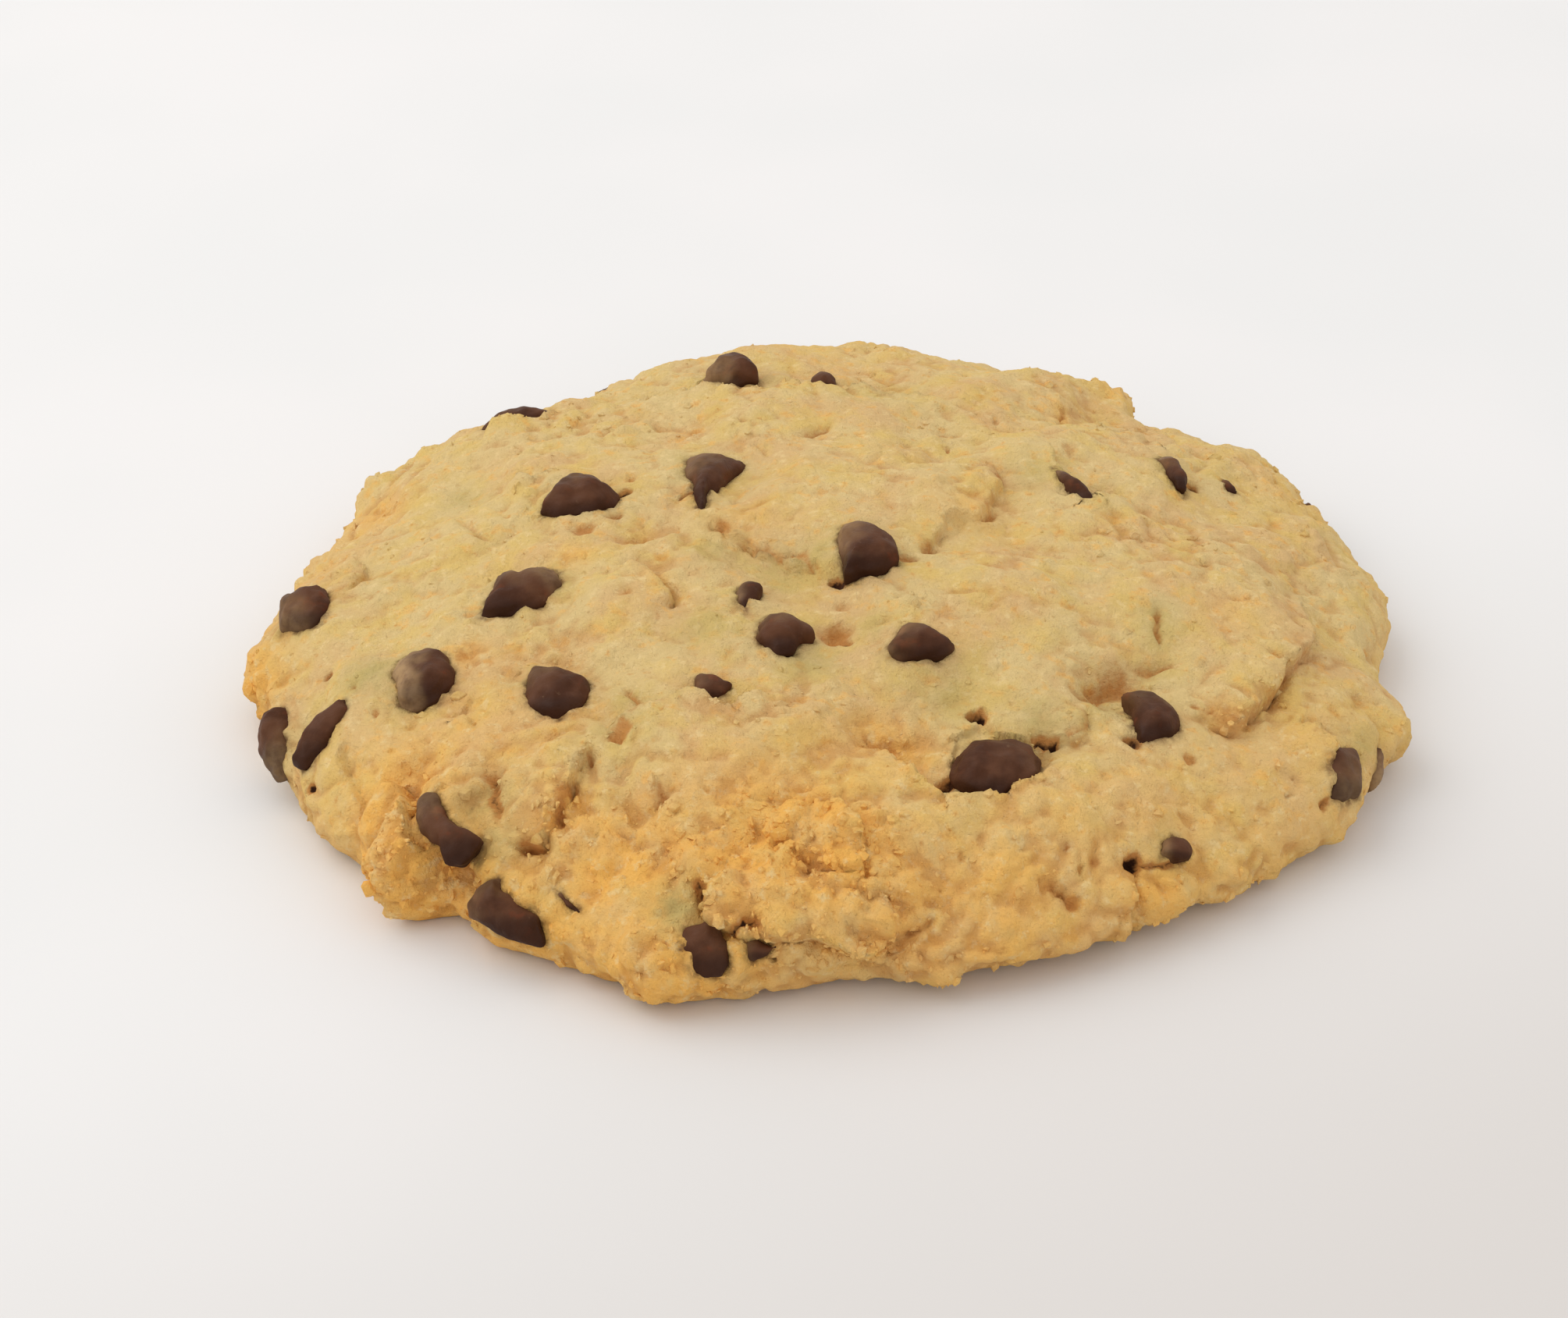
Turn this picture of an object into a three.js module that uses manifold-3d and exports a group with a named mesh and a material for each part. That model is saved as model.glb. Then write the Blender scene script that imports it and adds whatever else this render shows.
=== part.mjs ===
// A large soft-baked chocolate chip cookie, resting on its flat underside.
// Millimetres, +Z up, the near side of the cookie towards -Y.
// The origin is under the middle of the cookie, on the surface that it rests on.
import * as THREE from 'three';
import { mergeVertices } from 'three/addons/utils/BufferGeometryUtils.js';
import Module from 'manifold-3d';

// Driving dimensions
const RADIUS = 51.9;
const MIDDLE_HEIGHT = 17;
const RIM_HEIGHT = 4;
const DOME_POWER = 2.2;
const RIM_ROUNDNESS = 0.55;
const UNDERCUT = 0.06;
// At the front right the rim stands clear of the table: direction, further undercut, half width in degrees
const CLEAR_RIM = { at: 293, undercut: 0.11, width: 20 };
const OUTLINE_MIDDLE = { x: 0.35, y: -1.13 };
const CHIP_GAP = 0.3;

// Fineness of the faceted solids
const TOP_RINGS = 25;
const RIM_RINGS = 3;
const PLAIN_CHIP_SIDES = 9;

const DEGREE = Math.PI / 180;
const QUARTER_TURN = Math.PI / 2;

// Lumps and notches of the outline seen from above: direction, how far it stands out, half width in degrees
const OUTLINE_LUMPS = [
  { at: 31, out: 1.0, width: 4 },
  { at: 45, out: -4.5, width: 5.2 },
  { at: 54, out: 1.6, width: 2.4 },
  { at: 98, out: 3.5, width: 7 },
  { at: 107, out: 0.8, width: 4 },
  { at: 125, out: -2.6, width: 5 },
  { at: 149, out: 1.0, width: 8 },
  { at: 166, out: -2.5, width: 7 },
  { at: 190, out: 1.6, width: 4 },
  { at: 204, out: 0.9, width: 8 },
  { at: 217, out: 1.0, width: 6 },
  { at: 230, out: 2.8, width: 3.2 },
  { at: 256, out: 2.0, width: 5 },
  { at: 272, out: -1.5, width: 7 },
  { at: 300, out: -1.3, width: 7 },
  { at: 327, out: 1.7, width: 9 },
  { at: 342, out: 1.6, width: 4 },
  { at: 2, out: 0.6, width: 7 },
];

// Broad mounds and hollows: place seen from above, half widths, height
const MOUNDS = [
  { x: 5, y: 4, wide: 13, long: 9, high: 0.9 },
  { x: -15, y: -38, wide: 10, long: 7, high: 1.3 },
  { x: 1, y: -44, wide: 6, long: 4, high: 1.0 },
  { x: 2, y: -49, wide: 7, long: 4, high: 0.8 },
  { x: -11.8, y: -53.8, wide: 5, long: 4, high: 1.0 },
  { x: 50.5, y: -18, wide: 5, long: 6, high: 0.9 },
  { x: -50, y: -11, wide: 5, long: 6, high: 0.9 },
  { x: 31, y: 37, wide: 4, long: 4, high: 0.9 },
  { x: -28, y: -32, wide: 7, long: 5, high: 0.9 },
  { x: 24, y: -13, wide: 14, long: 7, high: 0.7 },
  { x: -22, y: 14, wide: 12, long: 8, high: 0.6 },
  { x: 14, y: -34, wide: 6, long: 4, high: -1.2 },
  { x: -9, y: 34, wide: 8, long: 4, high: -1.0 },
  { x: 25, y: -25.5, wide: 3.5, long: 2.5, high: -1.3 },
  { x: -31, y: -43.5, wide: 4, long: 3.5, high: -1.3 },
  { x: -1, y: -23.5, wide: 5, long: 2.5, high: -0.6 },
];

// Ledges where one layer of dough stands over the next, the higher side on the right of the way they run
const LEDGES = [
  // Back ridge
  { rise: 0.7, behind: 8, drop: 1.8, before: 4.5,
    path: [[-24, 25.5], [-19, 26.2], [-12, 26.2], [-4, 25.6], [5.5, 26.2], [15, 24]] },
  // Back left edge
  { rise: 0.5, behind: 5, drop: 1.4, before: 3.5,
    path: [[-33, 20], [-28.6, 23.2], [-24, 27]] },
  // Right top edge
  { rise: 0.5, behind: 6, drop: 0.9, before: 3.5,
    path: [[19, 14], [21.5, 10.9], [23.2, 5.9], [25.5, 3.6], [30.6, 6.1]] },
  // Mound by the middle, left
  { rise: 0.6, behind: 8, drop: 0.7, before: 4,
    path: [[2, -12.5], [-0.3, -9.7], [-4.2, -7.6], [-7.5, -5.3], [-11.5, -0.9]] },
  // Mound by the middle, right
  { rise: 0.3, behind: 6, drop: 0.6, before: 3,
    path: [[16, 10], [16.5, 7.2], [15.4, 0.7], [11.1, -3.3], [7.3, -9]] },
  // Left fold
  { rise: 0.4, behind: 5, drop: 0.5, before: 3,
    path: [[-18.5, -9.9], [-16.2, -11.1], [-14.2, -13.4], [-13, -16.2]] },
  // Front lobe, back edge
  { rise: 0.9, behind: 7, drop: 0.9, before: 3,
    path: [[-19.4, -33.8], [-16.3, -32.1], [-11.1, -29.7], [-8, -31], [-3.9, -26.6]] },
  // Front lobe, hollow edge
  { rise: 0.9, behind: 6, drop: 1.2, before: 4,
    path: [[2.5, -31.7], [6.8, -37.7], [9.7, -40.6], [15.5, -40.1], [21.3, -34]] },
  // Plateau over the hollow
  { rise: 0.5, behind: 5, drop: 0.8, before: 3,
    path: [[22.4, -27.3], [21.8, -31.3], [18.4, -32.5], [12, -31]] },
  // Right groove
  { rise: 0.8, behind: 7, drop: 1.2, before: 4,
    path: [[44.5, -4], [43.7, -12.2], [39.5, -20.5], [35.2, -27.2], [31.4, -26.7]] },
  // Right lobe
  { rise: 1.0, behind: 4, drop: 0.6, before: 3,
    path: [[41.2, -25.5], [43.4, -26], [43.4, -28.9], [43, -31.5]] },
  // Front lobe, lower edge
  { rise: 1.5, behind: 5, drop: 1.4, before: 3.5,
    path: [[8.4, -50.6], [3.3, -52], [-4.3, -52.2], [-9.2, -51.2], [-10, -48.3]] },
  // Left front tongue
  { rise: 1.1, behind: 5, drop: 1.4, before: 3.5,
    path: [[-38.2, -32], [-34.9, -39.5], [-33.6, -41.8]] },
  // Left front crack
  { rise: 0.6, behind: 4, drop: 1.0, before: 2.5,
    path: [[-19.7, -33.8], [-21, -36.9], [-21.7, -39.3], [-23.8, -42.1], [-27, -42.1]] },
  // Front right step
  { rise: 0.6, behind: 5, drop: 0.8, before: 3,
    path: [[25.7, -43.1], [25.1, -45.2], [24.2, -46.8]] },
];

// Width of the steep edge of a ledge, and the share of its path over which it fades at either end
const LEDGE_EDGE = 2.2;
const LEDGE_END = 0.2;

// Small lumps spread over the whole top on a spiral
const LUMP_COUNT = 260;
const LUMP_WIDTH = 2.6;
const LUMP_HEIGHT = 0.38;
const GOLDEN_TURN = 2.39996;

// Long waves of the dough: wavelengths and phases along X and Y, height
const WAVES = [
  { alongX: 27, alongY: 61, phase: 0.6, high: 0.35 },
  { alongX: -41, alongY: 23, phase: 2.1, high: 0.3 },
  { alongX: 15, alongY: -19, phase: 4.0, high: 0.2 },
  { alongX: -12, alongY: -33, phase: 1.3, high: 0.18 },
];

// Chips that show on top: place seen from above, height out of the dough, and the corners of the outline
// where it meets the dough, to the right and away from the near side
const TOP_CHIPS = [
  { x: -8.6, y: 32.7, out: 2.6,
    corners: [[-2.8, -1.2], [0.1, -2.7], [2.9, -1.6], [2.6, 0.4], [1.5, 1.6], [0.2, 2.7], [-1.2, 2.5], [-2.2, 0.9]] },
  { x: 0.6, y: 30.7, out: 1.2,
    corners: [[-1.3, -0.6], [0, -1.5], [1.3, -1], [1.4, 0.2], [0.6, 1.3], [-0.4, 1.6], [-1.2, 0.6]] },
  { x: -30, y: 25.9, out: 1.2,
    corners: [[-3.4, -1], [-1.8, -1.9], [0.6, -1.6], [3.6, -0.4], [3.9, 0.6], [2.9, 1.3], [0.5, 1.6], [-2.2, 0.9]] },
  { x: -10.4, y: 6.4, out: 1.8,
    corners: [[-1.3, -3.2], [-1.1, -5.8], [-0.5, -7.7], [0.3, -3.6], [1.8, -1.2], [3.4, 1.4], [3.6, 2.3], [1.6, 3.6],
      [-0.7, 3.8], [-1.9, 3.2], [-2.4, 1.1]] },
  { x: -22.3, y: 2.5, out: 2.3,
    corners: [[-3.4, -0.6], [-3.6, -1.8], [-1.6, -2.9], [1.6, -2.9], [3.7, -1.4], [4, -0.2], [1.8, 2.1], [0.4, 3.6],
      [-0.8, 3.7], [-2, 2.4]] },
  { x: 3.8, y: -8.8, out: 2,
    corners: [[-1.9, -1.5], [-2.1, -4.6], [-0.7, -3.6], [1.8, -2.7], [3.1, -1.6], [3.1, 0.2], [2.2, 1.8], [1.1, 2.9],
      [-0.6, 3.7], [-2.2, 3.5], [-2.7, 1.7]] },
  { x: 23.4, y: 5.2, out: 1,
    corners: [[-0.9, 0.4], [-0.2, -1.6], [0.7, -2.5], [1.8, -2.5], [1.5, -0.8], [0.7, 1], [-0.4, 1.6], [-1.2, 3.2],
      [-2.2, 3]] },
  { x: 33.4, y: 11.9, out: 1.1,
    corners: [[-1.2, 1], [-0.4, -1.4], [0.2, -3.2], [1.2, -3], [1.3, -1.2], [0.6, 0.6], [0.3, 3], [-0.9, 3],
      [-1.8, 2]] },
  { x: 39, y: 13.4, out: 0.5,
    corners: [[-0.6, 0.2], [0.4, -1.2], [0.9, -1.2], [0.4, 0.2], [-0.5, 1.3]] },
  { x: -26.9, y: -11.9, out: 2,
    corners: [[-3, -1], [-3.6, -3.4], [-2.6, -3.5], [0.4, -2.7], [3.2, -1], [4.1, 0.5], [3.6, 2.3], [2.4, 3.4],
      [1.3, 2.4], [0.2, 1.6], [-1.1, 3.1], [-2.4, 2.6]] },
  { x: -46.5, y: -7.6, out: 1.8,
    corners: [[-2.8, 1], [-2.1, -1.9], [1.1, -3.5], [2.5, -1.8], [2.6, 0.6], [2, 2.3], [0.6, 2.5], [-0.6, 2.2],
      [-2, 3.2], [-2.9, 2.4]] },
  { x: -6.6, y: -14.8, out: 0.9,
    corners: [[-1.1, -0.8], [-0.2, -2.6], [1, -0.6], [1.3, 1.4], [0.3, 2], [-0.7, 1.6], [-1.3, 0.2]] },
  { x: -3.6, y: -20.6, out: 1.6,
    corners: [[-2.3, -0.8], [-1.5, -1.9], [-0.5, -3], [0.9, -2.6], [1.8, -0.9], [3, -0.6], [2.9, 0.2], [2.1, 1.4],
      [0.6, 2.4], [-1.2, 2.7], [-2.2, 1.2]] },
  { x: 8.1, y: -22.8, out: 1.6,
    corners: [[-2.5, -0.5], [-2, -1.9], [0.5, -2], [2.4, -1.6], [3.2, -0.3], [2.6, 0.4], [1.7, 1.3], [0.5, 2.2],
      [-0.9, 2.4], [-1.8, 1.4]] },
  { x: -34.8, y: -22.3, out: 1.9,
    corners: [[-2.5, -0.6], [-1.6, -3.2], [-0.2, -4.1], [1.7, -3.1], [2.7, -1.1], [2.9, 0.6], [2.1, 2.6], [0.6, 3.5],
      [-1.1, 3.7], [-2.4, 2.6], [-2.8, 1]] },
  { x: -23.1, y: -26.8, out: 1.9,
    corners: [[-2.6, 0.3], [-2, -2.1], [-0.9, -2.9], [0.3, -3.5], [2.3, -2], [3, -0.2], [2.9, 1.2], [1.6, 2.1],
      [0.4, 2.8], [-0.9, 3], [-2.1, 3.3], [-2.7, 2]] },
  { x: -9.7, y: -27.9, out: 0.9,
    corners: [[-1.2, -0.3], [-1.1, -1.5], [0, -1.4], [1.2, -0.8], [2.1, 0.1], [0.9, 0.9], [0.1, 1.3], [-1.1, 1.3]] },
  { x: 28.1, y: -28.6, out: 1.8,
    corners: [[-1.8, 1], [-1.5, -1.3], [-1.4, -3.3], [0.4, -2.9], [2, -1.9], [2.8, -0.2], [2.4, 1.2], [1.4, 2.2],
      [0.1, 3.1], [-1.1, 3.2], [-2.6, 2.6]] },
  { x: 14.5, y: -36.3, out: 2.2,
    corners: [[-3.8, -1.7], [-2.6, -2.8], [-1.3, -3.8], [0.3, -3.8], [2.3, -2.3], [3.7, -0.5], [3.9, 1.6], [3.2, 2.8],
      [2, 3.5], [0.2, 3.5], [-2, 2.8], [-3.4, 1.4], [-4, -0.4]] },
  { x: -48.5, y: -20.8, out: 1.6,
    corners: [[-2.5, 1.6], [-1.6, -1.7], [0.5, -3.6], [2, -3.3], [1.9, -0.8], [0.9, 1.4], [-0.4, 3.4], [-1.8, 3.4]] },
  { x: -43.3, y: -25.3, out: 1.6,
    corners: [[-2.8, -2.1], [-1.4, -2.8], [0.5, -1.9], [1.8, -0.2], [2.8, 1.9], [2.3, 3.4], [0.9, 2.8], [-0.8, 1.1],
      [-2.2, -0.4]] },
  { x: 44.7, y: -28.6, out: 1.4,
    corners: [[-2.1, -1.2], [-1.6, -2.9], [-0.1, -3], [1.5, -1.9], [2.3, -0.1], [2.2, 1.6], [1.6, 2.8], [-0.4, 2.6],
      [-2.1, 1.8], [-2.4, 0.2]] },
  { x: 48.3, y: -23.9, out: 0.8,
    corners: [[-1.2, -1.9], [0.3, -1.2], [1.4, 0.6], [1.5, 1.9], [0.3, 1.4], [-0.9, -0.2]] },
  { x: -31.4, y: -40.3, out: 1.4,
    corners: [[-2.2, 0.2], [-0.5, -1.4], [0.3, -3.2], [1.7, -3.5], [3.3, -2.2], [3.5, -1.3], [1.9, -0.5], [0.4, 1.2],
      [-0.4, 2.7], [-1, 3.8], [-1.9, 3.9], [-2.6, 3.1], [-2.7, 1.6]] },
  { x: -26.3, y: -46.7, out: 1.4,
    corners: [[-3.4, -0.4], [-1.5, -1.3], [2, -2.4], [3.7, -2.5], [3.7, -1.4], [3.2, 0], [2.2, 0.7], [-0.4, 1.9],
      [-0.9, 2.9], [-1.9, 2.5], [-3.1, 1.8], [-3.6, 0.7]] },
  { x: -9.8, y: -53.3, out: 0.6,
    corners: [[-2.2, -0.5], [-1.3, -1.7], [0, -2.3], [1.3, -2.2], [1.9, -1.1], [1.9, 0.5], [1.4, 1.9], [0.7, 2.6],
      [-0.3, 2], [-1.5, 1.8], [-2.3, 0.9]] },
  { x: -5.7, y: -52.9, out: 0.6,
    corners: [[-1.2, -0.9], [-0.3, -1.1], [0.9, -0.5], [2, 0.4], [-0.2, 0.9], [-1.2, 0.8]] },
  { x: 29.1, y: -41.1, out: 1.3,
    corners: [[-1.5, -0.6], [0.2, -1.2], [1.5, -0.7], [1.7, 0.4], [1, 1.1], [0, 1.3], [-1, 0.9]] },
  { x: -21.3, y: -47.7, out: 0.5,
    corners: [[-1, 0.6], [-0.1, -0.4], [1, -1.1], [1.5, -1], [0.5, 0], [-0.4, 1.1], [-1.2, 1.4]] },
];

// Chips low on the rim, round the back and on the right, with plain outlines: width, length, turn in degrees
const BACK_CHIPS = [
  { x: 12.6, y: 50.6, wide: 6.6, long: 4.6, out: 0.5, turn: 20 },
  { x: 39.6, y: 32.4, wide: 5.6, long: 4.6, out: 0.5, turn: -30 },
  { x: -22.5, y: 49, wide: 6.2, long: 4.0, out: 0.4, turn: 15 },
  { x: 50, y: 20.5, wide: 3.8, long: 4.2, out: 0.4, turn: 10 },
];

// Chips that show level with the underside
const UNDERSIDE_CHIPS = [
  { x: -29, y: 18, wide: 7.4, long: 6.8, turn: 10 },
  { x: 25, y: 27, wide: 6.8, long: 7.6, turn: 70 },
  { x: 33, y: -12, wide: 7.8, long: 6.4, turn: -30 },
  { x: -17, y: -31, wide: 6.6, long: 6.0, turn: 0 },
  { x: 8, y: -32, wide: 5.4, long: 6.8, turn: 45 },
  { x: -4, y: 37, wide: 6.0, long: 5.6, turn: 120 },
];

// Rings of a chip from its crown to its tip: share of the outline, then of the height above or the depth below
const CHIP_CROWN = [[0.5, 0.9], [0.86, 0.5], [1, 0]];
const FLAT_CROWN = [[0.62, 0.95], [0.9, 0.8], [1, 0]];
const CHIP_ROOT = [[0.88, 0.4], [0.55, 0.8]];
const CHIP_DEPTH_SHARE = 0.5;
const UNDERSIDE_CHIP_OUT = 0.6;
const UNDERSIDE_CLEARANCE = 0.1;

const DOUGH_COLOUR = 0xd9b97e;
const CHIP_COLOUR = 0x53342a;

const doughMaterial = new THREE.MeshStandardMaterial({ color: DOUGH_COLOUR, roughness: 0.9, metalness: 0 });
const chipMaterial = new THREE.MeshStandardMaterial({ color: CHIP_COLOUR, roughness: 0.45, metalness: 0 });

const wasm = await Module();
wasm.setup();

function bell(distance, width) {
  return Math.exp(-((distance / width) ** 2));
}

function smoothStep(value) {
  const t = Math.min(Math.max(value, 0), 1);
  return t * t * (3 - 2 * t);
}

// Degrees from one direction to another, the short way round
function degreesAway(angle, at) {
  const turn = angle / DEGREE - at;
  return turn - 360 * Math.round(turn / 360);
}

// Radius of the widest line in a direction
function outlineRadius(angle) {
  let radius = RADIUS + 2.0 * Math.cos(angle + 64 * DEGREE) + 0.8 * Math.cos(2 * (angle - 60 * DEGREE));
  for (const lump of OUTLINE_LUMPS) {
    radius += lump.out * bell(degreesAway(angle, lump.at), lump.width);
  }
  return radius;
}

// Section of the plain form: 0 at the top's middle, 1 at the widest line, 2 at the underside's edge
function section(step) {
  if (step <= 1) {
    const share = Math.sin(step * QUARTER_TURN);
    const dome = Math.max(1 - share ** DOME_POWER, 0) ** RIM_ROUNDNESS;
    return { share, height: RIM_HEIGHT + (MIDDLE_HEIGHT - RIM_HEIGHT) * dome };
  }
  const turn = (step - 1) * QUARTER_TURN;
  return { share: 1 - UNDERCUT * (1 - Math.cos(turn)), height: RIM_HEIGHT * (1 - Math.sin(turn)) };
}

// The section again, as points with their length along it from the top's middle
const SECTION_STEPS = 1200;
const sectionPoints = [];
for (let i = 0; i <= SECTION_STEPS; i++) {
  const point = section((2 * i) / SECTION_STEPS);
  const last = sectionPoints[i - 1];
  const step = last ? Math.hypot((point.share - last.share) * RADIUS, point.height - last.height) : 0;
  sectionPoints.push({ ...point, length: last ? last.length + step : 0 });
}
const TOP_LENGTH = sectionPoints[SECTION_STEPS / 2].length;
const WHOLE_LENGTH = sectionPoints[SECTION_STEPS].length;

// Point and outward direction of the section at a length along it
function alongSection(length) {
  const found = sectionPoints.findIndex((point) => point.length >= length);
  const index = Math.min(Math.max(found, 1), SECTION_STEPS);
  const before = sectionPoints[index - 1];
  const after = sectionPoints[index];
  const t = Math.min(Math.max((length - before.length) / (after.length - before.length), 0), 1);
  const run = (after.share - before.share) * RADIUS;
  const fall = after.height - before.height;
  const size = Math.hypot(run, fall);
  return {
    share: before.share + t * (after.share - before.share),
    height: before.height + t * fall,
    outward: -fall / size,
    upward: run / size,
  };
}

// Length along the section of a place on the top seen from above
function lengthAt(x, y) {
  const share = Math.min(Math.hypot(x, y) / outlineRadius(Math.atan2(y, x)), 1);
  return sectionPoints.find((point) => point.share >= share || point.length >= TOP_LENGTH).length;
}

// The top rolled out flat, so that distances hold on the steep rim too
function rollOut(x, y) {
  const angle = Math.atan2(y, x);
  const length = lengthAt(x, y);
  return [length * Math.cos(angle), length * Math.sin(angle)];
}

// Distance from a path in the rolled-out top, the part of it to the path's right, and how far along the path
function fromPath(path, u, v) {
  let best = { distance: Infinity, right: 0, along: 0 };
  for (let i = 0; i + 1 < path.length; i++) {
    const [u0, v0] = path[i];
    const [u1, v1] = path[i + 1];
    const du = u1 - u0;
    const dv = v1 - v0;
    const t = Math.min(Math.max(((u - u0) * du + (v - v0) * dv) / (du * du + dv * dv), 0), 1);
    const distance = Math.hypot(u - u0 - t * du, v - v0 - t * dv);
    if (distance < best.distance) {
      const right = ((u - u0) * dv - (v - v0) * du) / Math.hypot(du, dv);
      best = { distance, right, along: (i + t) / (path.length - 1) };
    }
  }
  return best;
}

const flatMounds = MOUNDS.map((mound) => ({ ...mound, flat: rollOut(mound.x, mound.y) }));
const flatLedges = LEDGES.map((ledge) => ({ ...ledge, flat: ledge.path.map(([x, y]) => rollOut(x, y)) }));

function ledgeHeight(ledge, u, v) {
  const { distance, right, along } = fromPath(ledge.flat, u, v);
  const taper = smoothStep(along / LEDGE_END) * smoothStep((1 - along) / LEDGE_END);
  const top = smoothStep(0.5 + right / LEDGE_EDGE);
  const rise = top * ledge.rise * bell(distance, ledge.behind);
  const drop = (1 - top) * ledge.drop * bell(distance, ledge.before);
  return taper * (rise - drop);
}

function lumpHeight(u, v) {
  let height = 0;
  for (let i = 0; i < LUMP_COUNT; i++) {
    const reach = WHOLE_LENGTH * Math.sqrt((i + 0.5) / LUMP_COUNT);
    const angle = i * GOLDEN_TURN + 0.35 * Math.sin(i * 1.7);
    const away = Math.hypot(u - reach * Math.cos(angle), v - reach * Math.sin(angle));
    if (away > 3 * LUMP_WIDTH) continue;
    height += LUMP_HEIGHT * Math.sin(i * 2.3) * bell(away, LUMP_WIDTH * (1 + 0.3 * Math.sin(i * 3.1)));
  }
  return height;
}

// Height of the dough's relief over the plain form at a point of the rolled-out top
function relief(u, v) {
  let height = lumpHeight(u, v);
  for (const wave of WAVES) {
    height += wave.high * Math.sin((u / wave.alongX + v / wave.alongY) * 2 * Math.PI + wave.phase);
  }
  for (const { flat, wide, long, high } of flatMounds) {
    height += high * bell(Math.hypot((u - flat[0]) / wide, (v - flat[1]) / long), 1);
  }
  for (const ledge of flatLedges) height += ledgeHeight(ledge, u, v);
  return height * smoothStep((WHOLE_LENGTH - Math.hypot(u, v)) / 5);
}

// Point of the dough's surface, and the direction straight out of the plain form there
function surfacePoint(angle, length) {
  const { share, height, outward, upward } = alongSection(length);
  const out = new THREE.Vector3(outward * Math.cos(angle), outward * Math.sin(angle), upward);
  const under = length > TOP_LENGTH ? (1 - share) / UNDERCUT : 0;
  const further = CLEAR_RIM.undercut * bell(degreesAway(angle, CLEAR_RIM.at), CLEAR_RIM.width);
  const radius = (share - under * further) * outlineRadius(angle);
  const point = new THREE.Vector3(radius * Math.cos(angle), radius * Math.sin(angle), height);
  point.addScaledVector(out, relief(length * Math.cos(angle), length * Math.sin(angle)));
  return { point, out };
}

function closedGeometry(positions, indices) {
  const geometry = new THREE.BufferGeometry();
  geometry.setAttribute('position', new THREE.Float32BufferAttribute(positions, 3));
  geometry.setIndex(indices);
  return geometry;
}

// The dough before its chips: rings of growing count over the top, even rings down the rim, flat underside
function doughGeometry() {
  const positions = [];
  const indices = [];
  const addRing = (count, length) => {
    const start = positions.length / 3;
    for (let i = 0; i < count; i++) {
      const { point } = surfacePoint((i / count) * 2 * Math.PI, length);
      positions.push(point.x, point.y, Math.max(point.z, 0));
    }
    return start;
  };
  let inner = addRing(1, 0);
  for (let ring = 1; ring <= TOP_RINGS; ring++) {
    const outer = addRing(6 * ring, (TOP_LENGTH * ring) / TOP_RINGS);
    const innerCount = Math.max(6 * (ring - 1), 1);
    for (let sector = 0; sector < 6; sector++) {
      for (let i = 0; i < ring; i++) {
        const near = inner + ((sector * (ring - 1) + i) % innerCount);
        const far = outer + sector * ring + i;
        const farNext = outer + ((sector * ring + i + 1) % (6 * ring));
        indices.push(near, far, farNext);
        if (i === ring - 1) continue;
        indices.push(near, farNext, inner + ((sector * (ring - 1) + i + 1) % innerCount));
      }
    }
    inner = outer;
  }
  const count = 6 * TOP_RINGS;
  for (let ring = 1; ring <= RIM_RINGS; ring++) {
    const lower = addRing(count, TOP_LENGTH + ((WHOLE_LENGTH - TOP_LENGTH) * ring) / RIM_RINGS);
    for (let i = 0; i < count; i++) {
      const next = (i + 1) % count;
      indices.push(inner + i, lower + i, lower + next, inner + i, lower + next, inner + next);
    }
    inner = lower;
  }
  const middle = positions.length / 3;
  positions.push(0, 0, 0);
  for (let i = 0; i < count; i++) indices.push(middle, inner + ((i + 1) % count), inner + i);
  return closedGeometry(positions, indices);
}

// Corners of a plain, slightly uneven chip
function plainCorners(chip, order) {
  const turn = chip.turn * DEGREE;
  return Array.from({ length: PLAIN_CHIP_SIDES }, (_, i) => {
    const angle = (i / PLAIN_CHIP_SIDES) * 2 * Math.PI;
    const uneven = 1 + 0.08 * Math.sin(2 * angle + order * 2.1) + 0.06 * Math.sin(3 * angle + order * 1.3);
    const x = (chip.wide / 2) * uneven * Math.cos(angle);
    const y = (chip.long / 2) * uneven * Math.sin(angle);
    return [x * Math.cos(turn) - y * Math.sin(turn), x * Math.sin(turn) + y * Math.cos(turn)];
  });
}

// An outline with each side moved outwards
function grownCorners(corners, grow) {
  const outwardOf = ([x0, y0], [x1, y1]) => {
    const size = Math.hypot(x1 - x0, y1 - y0);
    return [(y1 - y0) / size, (x0 - x1) / size];
  };
  return corners.map((corner, i) => {
    const before = outwardOf(corners.at(i - 1), corner);
    const after = outwardOf(corner, corners[(i + 1) % corners.length]);
    const share = grow / Math.max(1 + before[0] * after[0] + before[1] * after[1], 0.6);
    return [corner[0] + share * (before[0] + after[0]), corner[1] + share * (before[1] + after[1])];
  });
}

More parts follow.
